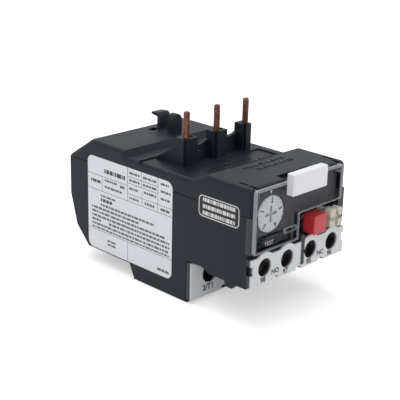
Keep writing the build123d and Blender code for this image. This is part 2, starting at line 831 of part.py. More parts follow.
with BuildPart() as clear_cover:
    with BuildSketch(facing(-cover_face)):
        with BuildLine():
            Polyline((cover_left, below(cover_top_drop)), (cover_right, below(cover_top_drop)),
                     (cover_right, below(cover_short_drop)), (cover_step_x, below(cover_short_drop)),
                     (cover_step_x, below(cover_long_drop)), (cover_left, below(cover_long_drop)),
                     close=True)
        make_face()
    extrude(amount=-cover_thickness)
    corners = clear_cover.edges().filter_by(Axis.Y)
    fillet(corners, cover_corner_radius)
    with BuildSketch(facing(-cover_face)):
        with BuildLine():
            Polyline((cover_left + cover_rim, below(cover_top_drop + cover_rim)),
                     (cover_right - cover_rim, below(cover_top_drop + cover_rim)),
                     (cover_right - cover_rim, below(cover_short_drop - cover_rim)),
                     (cover_step_x - cover_rim, below(cover_short_drop - cover_rim)),
                     (cover_step_x - cover_rim, below(cover_long_drop - cover_rim)),
                     (cover_left + cover_rim, below(cover_long_drop - cover_rim)), close=True)
        make_face()
    extrude(amount=-cover_rim_depth, mode=Mode.SUBTRACT)
    span(cover_left + cover_rim - 0.1, cover_tab_left - 1, cover_rim_depth - cover_face - 0.1,
         -cover_face, cover_rib_drop, cover_rib_drop + cover_rib_width)
    span(cover_tab_left, cover_tab_left + cover_tab_width, -cover_face - cover_tab_stand, -cover_face + 0.5,
         cover_rib_drop - cover_tab_height / 2, cover_rib_drop + cover_tab_height / 2)
    for ear_x, side in ((panel_left, -1), (cover_right - ear_thickness, 1)):
        with BuildSketch(across(ear_x)):
            with Locations((behind(hinge_depth), below(hinge_drop))):
                Circle(ear_radius)
            with Locations((behind((hinge_depth - cover_gap) / 2 - 0.05), below(hinge_drop))):
                Rectangle(hinge_depth + cover_gap + 0.1, 2 * ear_radius)
        extrude(amount=ear_thickness)
        outer_face = ear_x if side < 0 else ear_x + ear_thickness
        with BuildSketch(across(outer_face)):
            with Locations((behind(hinge_depth), below(hinge_drop))):
                Circle(hinge_pin_radius)
        extrude(amount=side * hinge_pin_length)

clear_cover.part.label = "clear_cover"
export_step(clear_cover.part, "parts/clear_cover.step")

with BuildPart() as marker_plate:
    span(-marker_width / 2, marker_width / 2, -face_stand, -cover_face, -marker_rise,
         marker_height - marker_rise)
    fillet(marker_plate.edges().filter_by(Axis.Y), marker_corner_radius)
    front_rim = marker_plate.faces().sort_by(Axis.Y)[0].edges()
    chamfer(front_rim, marker_bevel)

marker_plate.part.label = "marker_plate"
export_step(marker_plate.part, "parts/marker_plate.step")

dial_back = dial_depth + dial_thickness
cam_depth = dial_boss_depth + cam_gap

with BuildPart() as setting_dial:
    rod(dial_x, dial_drop, dial_radius, dial_depth, dial_back)
    chamfer(setting_dial.edges().filter_by(GeomType.CIRCLE).sort_by(Axis.Y)[0], dial_bevel)
    rod(dial_x, dial_drop, dial_shaft_radius, dial_back - 0.1, dial_shaft_end)
    with BuildSketch(facing(dial_depth)):
        with Locations((dial_x, below(dial_drop))):
            Rectangle(dial_slot_length, dial_slot_width)
            Rectangle(dial_slot_width, dial_slot_length)
    extrude(amount=-dial_slot_sink, mode=Mode.SUBTRACT)

setting_dial.part.label = "setting_dial"
export_step(setting_dial.part, "parts/setting_dial.step")

with BuildPart() as adjusting_cam:
    with BuildSketch(facing(cam_depth)):
        with BuildLine():
            spiral = []
            for step in range(cam_steps + 1):
                turn = 2 * pi * step / cam_steps
                reach = cam_small_radius + (cam_large_radius - cam_small_radius) * step / cam_steps
                spiral.append((dial_x + reach * cos(turn), below(dial_drop) + reach * sin(turn)))
            Spline(*spiral)
            Line(spiral[-1], spiral[0])
        make_face()
        with Locations((dial_x, below(dial_drop))):
            Circle(dial_shaft_radius + seat_gap, mode=Mode.SUBTRACT)
    extrude(amount=-cam_thickness)

adjusting_cam.part.label = "adjusting_cam"
export_step(adjusting_cam.part, "parts/adjusting_cam.step")


def coil(x, drop, radius, depth0, depth1):
    """A round wire spring along Y between two depths."""
    height = depth1 - depth0 - spring_wire
    path = Helix(pitch=height / spring_turns, height=height, radius=radius,
                 center=(x, behind(depth0 + spring_wire / 2), below(drop)), direction=(0, 1, 0))
    with BuildSketch(Plane(origin=path @ 0, z_dir=path % 0)) as wire:
        Circle(spring_wire / 2)
    sweep(wire.sketch, path=path)


stop_back = stop_length - stop_stand
stop_crown = stop_wall - stop_stand
reset_collar_depth = -reset_collar_stand
knob_front = -reset_stand
knob_back = reset_collar_depth - slide_gap

with BuildPart() as stop_button:
    span(stop_x - stop_width / 2, stop_x + stop_width / 2, -stop_stand, stop_back,
         stop_drop - stop_height / 2, stop_drop + stop_height / 2)
    fillet(stop_button.edges().filter_by(Axis.Y), stop_corner_radius)
    fillet(stop_button.faces().sort_by(Axis.Y)[0].edges(), stop_edge_radius)
    span(stop_x - stop_width / 2 + stop_wall, stop_x + stop_width / 2 - stop_wall, stop_crown, stop_back + 1,
         stop_drop - stop_height / 2 + stop_wall, stop_drop + stop_height / 2 - stop_wall,
         mode=Mode.SUBTRACT)
    rod(stop_x, stop_drop, stop_stem_radius, stop_crown - 0.1, stop_stem_end)

stop_button.part.label = "stop_button"
export_step(stop_button.part, "parts/stop_button.step")

with BuildPart() as stop_spring:
    coil(stop_x, stop_drop, stop_stem_radius + spring_wire + moving_gap, stop_crown, recess_depth)

stop_spring.part.label = "stop_spring"
export_step(stop_spring.part, "parts/stop_spring.step")

with BuildPart() as reset_plunger:
    rod(reset_x, reset_drop, reset_collar_radius, reset_collar_depth,
        reset_collar_depth + reset_collar_length)
    rod(reset_x, reset_drop, reset_stem_radius, reset_collar_depth, reset_stem_end)
    rod(reset_x, reset_drop, reset_spigot_radius, knob_front + reset_slot_sink + 0.4,
        reset_collar_depth + 0.1)

reset_plunger.part.label = "reset_plunger"
export_step(reset_plunger.part, "parts/reset_plunger.step")

with BuildPart() as reset_spring:
    coil(reset_x, reset_drop, reset_stem_radius + spring_wire + slide_gap,
         reset_collar_depth + reset_collar_length, recess_depth)

reset_spring.part.label = "reset_spring"
export_step(reset_spring.part, "parts/reset_spring.step")

with BuildPart() as reset_knob:
    with BuildSketch(facing(knob_front)):
        with Locations((reset_x, below(reset_drop))):
            Circle(reset_radius - reset_lobe_radius)
            with PolarLocations(reset_radius - reset_lobe_radius, 4, start_angle=45):
                Circle(reset_lobe_radius)
    extrude(amount=knob_front - knob_back)
    fillet(reset_knob.faces().sort_by(Axis.Y)[0].edges(), knob_edge_radius)
    with BuildSketch(facing(knob_front)):
        with Locations((reset_x, below(reset_drop))):
            Rectangle(2 * reset_slot_reach, reset_slot_width)
            Rectangle(reset_slot_width, 2 * reset_slot_reach)
    extrude(amount=-reset_slot_sink, mode=Mode.SUBTRACT)
    rod(reset_x, reset_drop, reset_spigot_radius + shaft_gap, knob_front + reset_slot_sink + 0.3,
        knob_back + 1, mode=Mode.SUBTRACT)

reset_knob.part.label = "reset_knob"
export_step(reset_knob.part, "parts/reset_knob.step")

with BuildPart() as test_slide:
    with BuildSketch(facing(test_depth)):
        middle = ((test_left + test_right) / 2, below(test_drop))
        with Locations(middle):
            Ellipse((test_right - test_left) / 2, test_height / 2)
    extrude(amount=-test_thickness)
    chamfer(test_slide.edges().sort_by(Axis.Y)[0], test_bevel)
    span(test_tail_left, test_tail_left + test_tail_width, test_depth + 0.5,
         test_tail_depth + test_tail_thickness, test_drop - test_bridge_height / 2,
         test_drop + test_bridge_height / 2)
    span(test_tail_left, test_tail_left + test_tail_width, test_tail_depth,
         test_tail_depth + test_tail_thickness, test_tail_top_drop, test_drop)
    span(test_tail_left, test_finger_tip, test_tail_depth, test_tail_depth + test_tail_thickness,
         test_tail_top_drop, test_tail_top_drop + test_finger_height)

test_slide.part.label = "test_slide"
export_step(test_slide.part, "parts/test_slide.step")

aux_flange_back = aux_flange_thickness - aux_face_stand
aux_bar_back = aux_bar_depth + aux_bar_thickness
aux_body_half = inner_half - fit_gap

with BuildPart() as aux_terminal_block:
    with BuildSketch(facing(-aux_face_stand)):
        with Locations((0, below((aux_top_drop + aux_bottom_drop) / 2))):
            Rectangle(case_width, aux_bottom_drop - aux_top_drop)
        with Locations(*[(x, below(aux_drop)) for x in aux_places.values()]):
            Circle(aux_lobe_radius)
        with Locations((-half_width, below(aux_drop)), (half_width, below(aux_drop))):
            Rectangle(2 * aux_ear_notch, aux_ear_height, mode=Mode.SUBTRACT)
        for notch_x in (-1, 0, 1):
            with Locations((notch_x * (aux_inner_x + aux_outer_x) / 2, below(aux_bottom_drop))):
                Rectangle(aux_foot_notch_width, 2 * aux_foot_notch_height, mode=Mode.SUBTRACT)
    extrude(amount=-aux_flange_thickness)
    span(-aux_body_half, aux_body_half, aux_flange_back - 0.1, aux_block_depth,
         panel_bottom_drop + moving_gap, overhang_drop)
    for screw_x in aux_places.values():
        rod(screw_x, aux_drop, aux_hole_radius, -aux_face_stand - 1, aux_bar_depth, mode=Mode.SUBTRACT)
        span(screw_x - aux_pocket_width / 2, screw_x + aux_pocket_width / 2, aux_pocket_depth,
             aux_bar_depth + seat_gap, aux_bar_top_drop - moving_gap, aux_bottom_drop + 1,
             mode=Mode.SUBTRACT)
        span(screw_x - aux_bar_width / 2 - seat_gap, screw_x + aux_bar_width / 2 + seat_gap,
             aux_bar_depth, aux_bar_back, aux_bar_top_drop - seat_gap, aux_bar_bottom_drop + seat_gap,
             mode=Mode.SUBTRACT)
        span(screw_x - aux_tongue_width / 2 - seat_gap, screw_x + aux_tongue_width / 2 + seat_gap,
             aux_bar_depth, aux_block_depth + 1, aux_bar_top_drop - seat_gap,
             aux_bar_top_drop + aux_bar_thickness + seat_gap, mode=Mode.SUBTRACT)
        rod(screw_x, aux_drop, aux_shank_radius + fit_gap, aux_bar_depth,
            aux_screw_end + fit_gap, mode=Mode.SUBTRACT)
    span(divider_x - divider_width / 2 - fit_gap, divider_x + divider_width / 2 + fit_gap, -2,
         aux_flange_back + fit_gap, aux_top_drop - 2, divider_bottom_drop + fit_gap, mode=Mode.SUBTRACT)

aux_terminal_block.part.label = "aux_terminal_block"
export_step(aux_terminal_block.part, "parts/aux_terminal_block.step")


def foot_lug(blade_x):
    """The lug of a terminal bar that holds the foot of a contact blade."""
    left = blade_x + blade_thickness / 2 + slide_gap
    span(left, left + post_plate_thickness, blade_depth, blade_depth + blade_width,
         blade_foot_drop - lug_rise, aux_bar_top_drop + 0.1)


def contact_post(face_x, side):
    """Upright plate of a terminal bar with the fixed contact rivet; side says which way it looks."""
    inner = face_x - side * fixed_contact_height
    outer = inner - side * post_plate_thickness
    span(min(inner, outer), max(inner, outer), blade_depth, blade_depth + blade_width,
         contact_drop - contact_radius - 1, aux_bar_top_drop + 0.1)
    with BuildSketch(across(inner)) as rivet:
        with Locations((behind(blade_depth + blade_width / 2), below(contact_drop))):
            Circle(contact_radius)
    extrude(rivet.sketch, amount=side * fixed_contact_height)


no_fixed_face = no_blade_x - blade_thickness / 2 - contact_height - contact_gap
nc_fixed_face = nc_blade_x + blade_thickness / 2 + contact_height + shaft_gap
blade_back = blade_depth + blade_width
bar_top = aux_bar_top_drop
bar_under = aux_bar_top_drop + aux_bar_thickness

for number, screw_x in aux_places.items():
    with BuildPart() as aux_terminal_bar:
        span(screw_x - aux_bar_width / 2, screw_x + aux_bar_width / 2, aux_bar_depth, aux_bar_back,
             bar_top, aux_bar_bottom_drop)
        rod(screw_x, aux_drop, aux_shank_radius + shaft_gap, aux_bar_depth - 1, aux_bar_back + 1,
            mode=Mode.SUBTRACT)
        span(screw_x - aux_tongue_width / 2, screw_x + aux_tongue_width / 2, aux_bar_back - 0.1,
             blade_back, bar_top, bar_under)
        if number == 97:
            span(screw_x, no_blade_x + blade_thickness / 2 + slide_gap + post_plate_thickness,
                 blade_depth, blade_back, bar_top, bar_under)
            foot_lug(no_blade_x)
        if number == 95:
            span(screw_x, nc_blade_x + blade_thickness / 2 + slide_gap + post_plate_thickness,
                 blade_depth, blade_back, bar_top, bar_under)
            foot_lug(nc_blade_x)
        if number == 98:
            span(screw_x, no_fixed_face - fixed_contact_height, blade_depth, blade_back, bar_top, bar_under)
            contact_post(no_fixed_face, 1)
        if number == 96:
            span(nc_fixed_face + fixed_contact_height, screw_x, blade_depth, blade_back, bar_top, bar_under)
            contact_post(nc_fixed_face, -1)
    aux_terminal_bar.part.label = f"aux_terminal_bar_{number}"
    export_step(aux_terminal_bar.part, f"parts/aux_terminal_bar_{number}.step")


def clamp_screw(x, drop, head_radius, head_height, shank_radius, shank_end, washer_width,
                washer_thickness, plate_depth, bevel):
    """A cross-slotted terminal screw and its loose square washer, in front of a plate."""
    washer_back = plate_depth - moving_gap
    washer_front = washer_back - washer_thickness
    head_front = washer_front - head_height
    with BuildSketch(facing(head_front)) as head:
        with Locations((x, below(drop))):
            Circle(head_radius)
    extrude(head.sketch, amount=-head_height)
    chamfer(edges().filter_by(GeomType.CIRCLE).sort_by(Axis.Y)[0], bevel)
    rod(x, drop, shank_radius, head_front + head_height - 0.1, shank_end)
    with BuildSketch(facing(head_front)) as slots:
        with Locations((x, below(drop))):
            Rectangle(2 * head_radius - 2 * bevel, driver_slot_width)
            Rectangle(driver_slot_width, 2 * head_radius - 2 * bevel)
    extrude(slots.sketch, amount=-driver_slot_sink, mode=Mode.SUBTRACT)
    with BuildSketch(facing(washer_front + seat_gap)) as washer:
        with Locations((x, below(drop))):
            Rectangle(washer_width, washer_width)
            Circle(shank_radius + shaft_gap, mode=Mode.SUBTRACT)
    extrude(washer.sketch, amount=seat_gap - washer_thickness)


for number, screw_x in aux_places.items():
    with BuildPart() as aux_terminal_screw:
        clamp_screw(screw_x, aux_drop, aux_head_radius, aux_head_height, aux_shank_radius, aux_screw_end,
                    aux_washer_width, aux_washer_thickness, aux_bar_depth, screw_bevel)
    aux_terminal_screw.part.label = f"aux_terminal_screw_{number}"
    export_step(aux_terminal_screw.part, f"parts/aux_terminal_screw_{number}.step")

power_flange_back = power_face_depth + power_flange_thickness

with BuildPart() as power_terminal_block:
    with BuildSketch(facing(power_face_depth)):
        with Locations((0, below((power_top_drop + power_bottom_drop) / 2))):
            Rectangle(case_width, power_bottom_drop - power_top_drop)
            with GridLocations(pole_pitch, power_bottom_drop - power_top_drop, 2, 2):
                Rectangle(power_notch_width, 2 * power_notch_height, mode=Mode.SUBTRACT)
    extrude(amount=-power_flange_thickness)
    chamfer(power_terminal_block.edges().filter_by(Axis.X).sort_by(Axis.Y)[0:6], power_bevel)
    span(-aux_body_half, aux_body_half, power_flange_back - 0.1, power_block_depth,
         power_top_drop + fit_gap, foot_floor_drop - slide_gap)
    for pole_x in pole_places:
        rod(pole_x, power_drop, power_hole_radius, power_face_depth - 1, power_plate_depth,
            mode=Mode.SUBTRACT)
        span(pole_x - power_pocket_width / 2, pole_x + power_pocket_width / 2, power_pocket_depth,
             power_plate_depth, power_plate_top_drop + fit_gap, foot_floor_drop + 1, mode=Mode.SUBTRACT)
        span(pole_x - power_plate_width / 2 - seat_gap, pole_x + power_plate_width / 2 + seat_gap,
             power_plate_depth - seat_gap, power_plate_back, power_plate_top_drop - seat_gap,
             power_plate_bottom_drop + seat_gap, mode=Mode.SUBTRACT)
        span(pole_x - power_tongue_width / 2 - seat_gap, pole_x + power_tongue_width / 2 + seat_gap,
             power_plate_depth, power_block_depth + 1, power_plate_top_drop - seat_gap,
             power_plate_top_drop + power_plate_thickness + seat_gap, mode=Mode.SUBTRACT)
        rod(pole_x, power_drop, power_shank_radius + fit_gap, power_plate_depth,
            power_screw_end + fit_gap, mode=Mode.SUBTRACT)

power_terminal_block.part.label = "power_terminal_block"
export_step(power_terminal_block.part, "parts/power_terminal_block.step")

for number, pole_x in enumerate(pole_places, 1):
    with BuildPart() as power_terminal_plate:
        span(pole_x - power_plate_width / 2, pole_x + power_plate_width / 2, power_plate_depth,
             power_plate_back, power_plate_top_drop, power_plate_bottom_drop)
        rod(pole_x, power_drop, power_shank_radius + shaft_gap, power_plate_depth - 1,
            power_plate_back + 1, mode=Mode.SUBTRACT)
        span(pole_x - power_tongue_width / 2, pole_x + power_tongue_width / 2, power_plate_back - 0.1,
             heater_front, power_plate_top_drop, power_plate_top_drop + power_plate_thickness)
    power_terminal_plate.part.label = f"power_terminal_plate_{number}"
    export_step(power_terminal_plate.part, f"parts/power_terminal_plate_{number}.step")

    with BuildPart() as power_terminal_screw:
        clamp_screw(pole_x, power_drop, power_head_radius, power_head_height, power_shank_radius,
                    power_screw_end, power_washer_width, power_washer_thickness, power_plate_depth,
                    screw_bevel)
    power_terminal_screw.part.label = f"power_terminal_screw_{number}"
    export_step(power_terminal_screw.part, f"parts/power_terminal_screw_{number}.step")

    with BuildPart() as contact_pin:
        post(pole_x, pin_depth, pin_radius, -pin_rise, -post_rise)
        post(pole_x, pin_depth, pin_root_radius, -post_rise, conductor_floor)
        chamfer(contact_pin.edges().filter_by(GeomType.CIRCLE).sort_by(Axis.Z)[-1], pin_tip)
    contact_pin.part.label = f"contact_pin_{number}"
    export_step(contact_pin.part, f"parts/contact_pin_{number}.step")

    with BuildPart() as phase_conductor:
        span(pole_x - conductor_width / 2, pole_x + conductor_width / 2, pin_depth - conductor_end_margin,
             heater_front, conductor_drop, conductor_floor)
        post(pole_x, pin_depth, pin_root_radius + seat_gap, conductor_drop - 1, conductor_floor + 1,
             mode=Mode.SUBTRACT)
    phase_conductor.part.label = f"phase_conductor_{number}"
    export_step(phase_conductor.part, f"parts/phase_conductor_{number}.step")

    left = pole_x - heater_left
    right = pole_x + heater_right
    last_drop = heater_top_drop + heater_turns * heater_pitch
    with BuildPart() as heater_winding:
        for turn in range(heater_turns):
            top = heater_top_drop + turn * heater_pitch
            span(left, left + heater_strip_thickness, heater_front, heater_back, top,
                 top + heater_strip_width)
            span(left, right, heater_back - heater_strip_thickness, heater_back, top,
                 top + heater_strip_width)
            span(right - heater_strip_thickness, right, heater_front, heater_back, top,
                 top + heater_strip_width)
            with BuildSketch(facing(heater_front)):
                with BuildLine():
                    Polyline((right, below(top)), (right, below(top + heater_strip_width)),
                             (left, below(top + heater_pitch + heater_strip_width)),
                             (left, below(top + heater_pitch)), close=True)
                make_face()
            extrude(amount=-heater_strip_thickness)
        span(left, left + heater_lead_width, heater_front, heater_front + heater_strip_thickness,
             conductor_drop, heater_top_drop + heater_strip_width)
        span(left, left + heater_lead_width, heater_front, heater_front + heater_strip_thickness, last_drop,
             power_plate_top_drop + power_plate_thickness)
    heater_winding.part.label = f"heater_winding_{number}"
    export_step(heater_winding.part, f"parts/heater_winding_{number}.step")

    with BuildPart() as bimetal_holder:
        span(pole_x - holder_width / 2, pole_x + holder_width / 2, holder_front,
             holder_front + holder_length, holder_drop, rib_top_drop)
        lug_left = pole_x + strip_face + shaft_gap
        span(lug_left, lug_left + holder_thickness, strip_depth - strip_width / 2,
             strip_depth + strip_width / 2, holder_drop - holder_lug_rise, holder_drop + 0.1)
    bimetal_holder.part.label = f"bimetal_holder_{number}"
    export_step(bimetal_holder.part, f"parts/bimetal_holder_{number}.step")

    with BuildPart() as bimetal_strip:
        span(pole_x + strip_face - strip_thickness, pole_x + strip_face, strip_depth - strip_width / 2,
             strip_depth + strip_width / 2, strip_tip_drop + strip_nose_height, strip_foot_drop)
        span(pole_x + strip_face - strip_thickness, pole_x + strip_face, strip_depth - strip_nose_width / 2,
             strip_depth + strip_nose_width / 2, strip_tip_drop, strip_tip_drop + strip_nose_height + 0.1)
    bimetal_strip.part.label = f"bimetal_strip_{number}"
    export_step(bimetal_strip.part, f"parts/bimetal_strip_{number}.step")


def slide_plate(left, top_drop, window_left, window_right):
    """A thin moulded slide with a window for each bimetal strip."""
    with BuildSketch(level(top_drop + slide_thickness)) as plate:
        with Locations(((left + slide_right) / 2, behind(strip_depth))):
            RectangleRounded(slide_right - left, slide_width, slide_corner_radius)
        for pole_x in pole_places:
            with Locations((pole_x + (window_right - window_left) / 2, behind(strip_depth))):
                Rectangle(window_left + window_right, slide_window_length, mode=Mode.SUBTRACT)
    extrude(plate.sketch, amount=slide_thickness)


trip_peg_depth = strip_depth + peg_spacing / 2
return_peg_depth = strip_depth - peg_spacing / 2

with BuildPart() as trip_slide:
    slide_plate(slide_left, upper_slide_drop, trip_window_left, trip_window_right)
    post(peg_x, trip_peg_depth, peg_radius, link_drop, upper_slide_drop + 0.1)
    with BuildSketch(level(upper_slide_drop + slide_thickness)):
        with Locations((peg_x, behind(return_peg_depth))):
            SlotOverall(peg_slot_length, 2 * peg_radius + 2 * slide_gap)
    extrude(amount=slide_thickness, mode=Mode.SUBTRACT)

trip_slide.part.label = "trip_slide"
export_step(trip_slide.part, "parts/trip_slide.step")

with BuildPart() as differential_slide:
    slide_plate(return_slide_left, lower_slide_drop, return_window_left, return_window_right)
    post(peg_x, return_peg_depth, peg_radius, link_drop, lower_slide_drop + 0.1)

differential_slide.part.label = "differential_slide"
export_step(differential_slide.part, "parts/differential_slide.step")

with BuildPart() as differential_lever:
    with BuildSketch(level(link_drop + slide_thickness)):
        with Locations((peg_x, behind(strip_depth))):
            RectangleRounded(link_width, peg_spacing + link_width, link_width * 0.45)
        with Locations((peg_x - link_width / 2 - link_nose_inset / 2, behind(strip_depth))):
            Rectangle(link_nose_inset, link_nose_length)
        with Locations((peg_x, behind(trip_peg_depth)), (peg_x, behind(return_peg_depth))):
            Circle(peg_radius + shaft_gap, mode=Mode.SUBTRACT)
    extrude(amount=slide_thickness)

differential_lever.part.label = "differential_lever"
export_step(differential_lever.part, "parts/differential_lever.step")

bracket_drop = lever_bottom_drop + moving_gap
lever_left = lever_x - lever_thickness / 2
lever_right = lever_x + lever_thickness / 2

with BuildPart() as compensation_lever:
    span(lever_left, lever_right, lever_front_depth, lever_back_depth, lever_top_drop, lever_bottom_drop)
    post(lever_x, lever_pivot_depth, lever_hub_radius, lever_top_drop, lever_bottom_drop)
    span(lever_left, lever_arm_end, lever_front_depth, lever_front_depth + lever_thickness,
         lever_top_drop, lever_bottom_drop)
    span(follower_x, follower_x + lever_thickness, follower_depth, lever_front_depth + 0.1,
         lever_top_drop, lever_bottom_drop)
    post(follower_x + lever_thickness / 2, follower_depth, follower_radius, lever_top_drop,
         lever_bottom_drop)
    post(lever_x, lever_pivot_depth, lever_pin_radius + shaft_gap, lever_top_drop - 1,
         lever_bottom_drop + 1, mode=Mode.SUBTRACT)

compensation_lever.part.label = "compensation_lever"
export_step(compensation_lever.part, "parts/compensation_lever.step")

with BuildPart() as compensation_strip:
    span(lever_right, lever_right + comp_strip_thickness, comp_strip_front, comp_strip_back,
         lever_top_drop, lever_bottom_drop)

compensation_strip.part.label = "compensation_strip"
export_step(compensation_strip.part, "parts/compensation_strip.step")

with BuildPart() as lever_pivot_pin:
    post(lever_x, lever_pivot_depth, lever_pin_radius, lever_top_drop - moving_gap,
         bracket_drop + bracket_thickness)
    post(lever_x, lever_pivot_depth, pin_head_radius, lever_top_drop - moving_gap - pin_head_height,
         lever_top_drop - moving_gap)

lever_pivot_pin.part.label = "lever_pivot_pin"
export_step(lever_pivot_pin.part, "parts/lever_pivot_pin.step")

rocker_back = rocker_depth + rocker_thickness
arm_left = rocker_x - rocker_arm_width
nc_finger_x = nc_blade_x + blade_thickness / 2 + 2 * moving_gap + finger_radius

with BuildPart() as trip_rocker:
    rod(rocker_x, rocker_drop, rocker_hub_radius, rocker_depth, rocker_back)
    span(arm_left, arm_left + rocker_arm_width, rocker_depth, rocker_back, rocker_top_drop, rocker_drop)
    span(arm_left, arm_left + rocker_arm_width, rocker_depth, lever_front_depth + lever_thickness,
         rocker_top_drop, lever_bottom_drop)
    span(rocker_x - rocker_arm_width / 2, rocker_x + rocker_arm_width / 2, rocker_depth, rocker_back,
         rocker_drop, rocker_bar_drop)
    span(no_finger_x, nc_finger_x, rocker_depth, rocker_back, rocker_bar_drop - rocker_bar_height / 2,
         rocker_bar_drop + rocker_bar_height / 2)
    for finger_x in (no_finger_x, nc_finger_x):
        rod(finger_x, rocker_bar_drop, rocker_bar_height / 2, rocker_depth, rocker_back)
        rod(finger_x, rocker_bar_drop, finger_radius, rocker_back - 0.1, blade_back)
    rod(rocker_x, rocker_drop, rocker_pin_radius + shaft_gap, rocker_depth - 1, rocker_back + 1,
        mode=Mode.SUBTRACT)

trip_rocker.part.label = "trip_rocker"
export_step(trip_rocker.part, "parts/trip_rocker.step")

with BuildPart() as rocker_pivot_pin:
    rod(rocker_x, rocker_drop, rocker_pin_radius, recess_depth + recess_floor, rocker_back + moving_gap)
    rod(rocker_x, rocker_drop, pin_head_radius, rocker_back + moving_gap,
        rocker_back + moving_gap + pin_head_height)

rocker_pivot_pin.part.label = "rocker_pivot_pin"
export_step(rocker_pivot_pin.part, "parts/rocker_pivot_pin.step")

for name, blade_x, side in (("no_contact_blade", no_blade_x, -1), ("nc_contact_blade", nc_blade_x, 1)):
    with BuildPart() as contact_blade:
        span(blade_x - blade_thickness / 2, blade_x + blade_thickness / 2, blade_depth, blade_back,
             blade_tip_drop, blade_foot_drop)
        with BuildSketch(across(blade_x + side * blade_thickness / 2)):
            with Locations((behind(blade_depth + blade_width / 2), below(contact_drop))):
                Circle(contact_radius)
        extrude(amount=side * contact_height)
    contact_blade.part.label = name
    export_step(contact_blade.part, f"parts/{name}.step")

for name, depth0, depth1, drop1, radius in (
    ("rating_label", label_front, label_back, label_bottom_drop, label_radius),
    ("seal_sticker", seal_front, seal_back, seal_bottom_drop, seal_radius),
):
    with BuildPart() as sticker:
        with BuildSketch(across(-half_width)):
            with Locations((behind((depth0 + depth1) / 2), below((label_top_drop + drop1) / 2))):
                RectangleRounded(depth1 - depth0 - 2 * seat_gap, drop1 - label_top_drop - 2 * seat_gap,
                                 radius)
        extrude(amount=label_thickness)
    sticker.part.label = name
    export_step(sticker.part, f"parts/{name}.step")
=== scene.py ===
"""Dresses the thermal overload relay: finishes, print, small trim, floor, lights and camera.

Every length in the classes is in millimetres and is turned into metres where a mesh is made, except in
Studio, which is in metres throughout.
"""

import json
import logging
from dataclasses import dataclass, field, replace
from enum import Enum
from typing import Sequence

import bpy
import numpy as np
from mathutils import Matrix, Vector

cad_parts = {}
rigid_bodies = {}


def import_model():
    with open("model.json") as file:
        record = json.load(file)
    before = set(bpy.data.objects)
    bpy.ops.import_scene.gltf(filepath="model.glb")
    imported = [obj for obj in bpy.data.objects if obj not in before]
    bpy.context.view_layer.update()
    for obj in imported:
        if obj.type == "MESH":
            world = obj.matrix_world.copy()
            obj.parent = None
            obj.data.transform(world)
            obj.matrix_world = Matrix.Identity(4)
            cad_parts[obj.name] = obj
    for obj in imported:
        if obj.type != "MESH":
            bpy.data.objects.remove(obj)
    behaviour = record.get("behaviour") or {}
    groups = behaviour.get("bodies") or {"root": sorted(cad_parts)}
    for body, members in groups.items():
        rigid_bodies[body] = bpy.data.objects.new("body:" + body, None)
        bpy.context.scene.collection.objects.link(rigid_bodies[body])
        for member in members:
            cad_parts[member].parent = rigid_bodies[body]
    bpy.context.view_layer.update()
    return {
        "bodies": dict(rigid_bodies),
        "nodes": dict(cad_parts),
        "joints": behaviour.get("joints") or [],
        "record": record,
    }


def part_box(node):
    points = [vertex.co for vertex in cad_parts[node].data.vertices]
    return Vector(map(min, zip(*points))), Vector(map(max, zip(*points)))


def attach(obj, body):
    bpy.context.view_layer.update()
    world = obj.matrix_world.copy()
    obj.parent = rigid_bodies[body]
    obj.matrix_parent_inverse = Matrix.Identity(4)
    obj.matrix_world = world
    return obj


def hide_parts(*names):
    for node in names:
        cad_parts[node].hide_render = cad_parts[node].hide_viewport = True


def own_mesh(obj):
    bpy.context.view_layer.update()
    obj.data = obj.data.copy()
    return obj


LOG = logging.getLogger("relay")

MM = 0.001
SEED = 11
# How far print reaches into the face it lies on and stands out of it, and of a film.
PRINT_SINK = 0.01
PRINT_RISE = 0.03
FILM_RISE = 0.02
# The shortest and longest word of false print, as shares of the mean.
WORD_RANGE = (0.4, 1.6)
# The built-in font's size over the height of its capitals.
FONT_SCALE = 1.38
POWER_MARKS = ("2/T1", "4/T2", "6/T3")
CONTACT_MARKS = ("98", "97", "95", "96")
DIAL_NUMBERS = ("1", "2", "3", "4", "5")

Triple = tuple[float, float, float]
Colour = Triple
Array = np.ndarray


def spot(node: str, across: float, deep: float, up: float) -> Vector:
    """Gives a point of a CAD node's box at rest.

    Args:
        node: the node's name.
        across: share of the box's width, from the left.
        deep: share of its length, from the front.
        up: share of its height, from the bottom.

    Returns:
        The point in metres.
    """
    low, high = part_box(node)
    return Vector(a + (b - a) * share for a, b, share in zip(low, high, (across, deep, up)))


def middle(node: str) -> float:
    """Gives the X of a CAD node's middle, in millimetres."""
    return spot(node, 0.5, 0, 0).x / MM


def extent(node: str) -> Vector:
    """Gives a CAD node's width, length and height, in millimetres."""
    low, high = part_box(node)
    return (high - low) / MM


def rounded(width: float, height: float, radius: float, steps: int = 6) -> Array:
    """Gives a rectangle's outline with quarter circles at its corners, anticlockwise round zero.

    Args:
        width: its width in millimetres.
        height: its height in millimetres.
        radius: its corners' radius in millimetres.
        steps: how many stretches each corner has.

    Returns:
        Array of shape (n, 2), in millimetres.
    """
    turn = (np.arange(4)[:, None] + np.linspace(0, 1, steps + 1)) * np.pi / 2
    corner = np.array([[1, 1], [-1, 1], [-1, -1], [1, -1]]) * (width / 2 - radius, height / 2 - radius)
    arcs = corner[:, None] + radius * np.stack([np.cos(turn), np.sin(turn)], -1)
    return arcs.reshape(-1, 2)


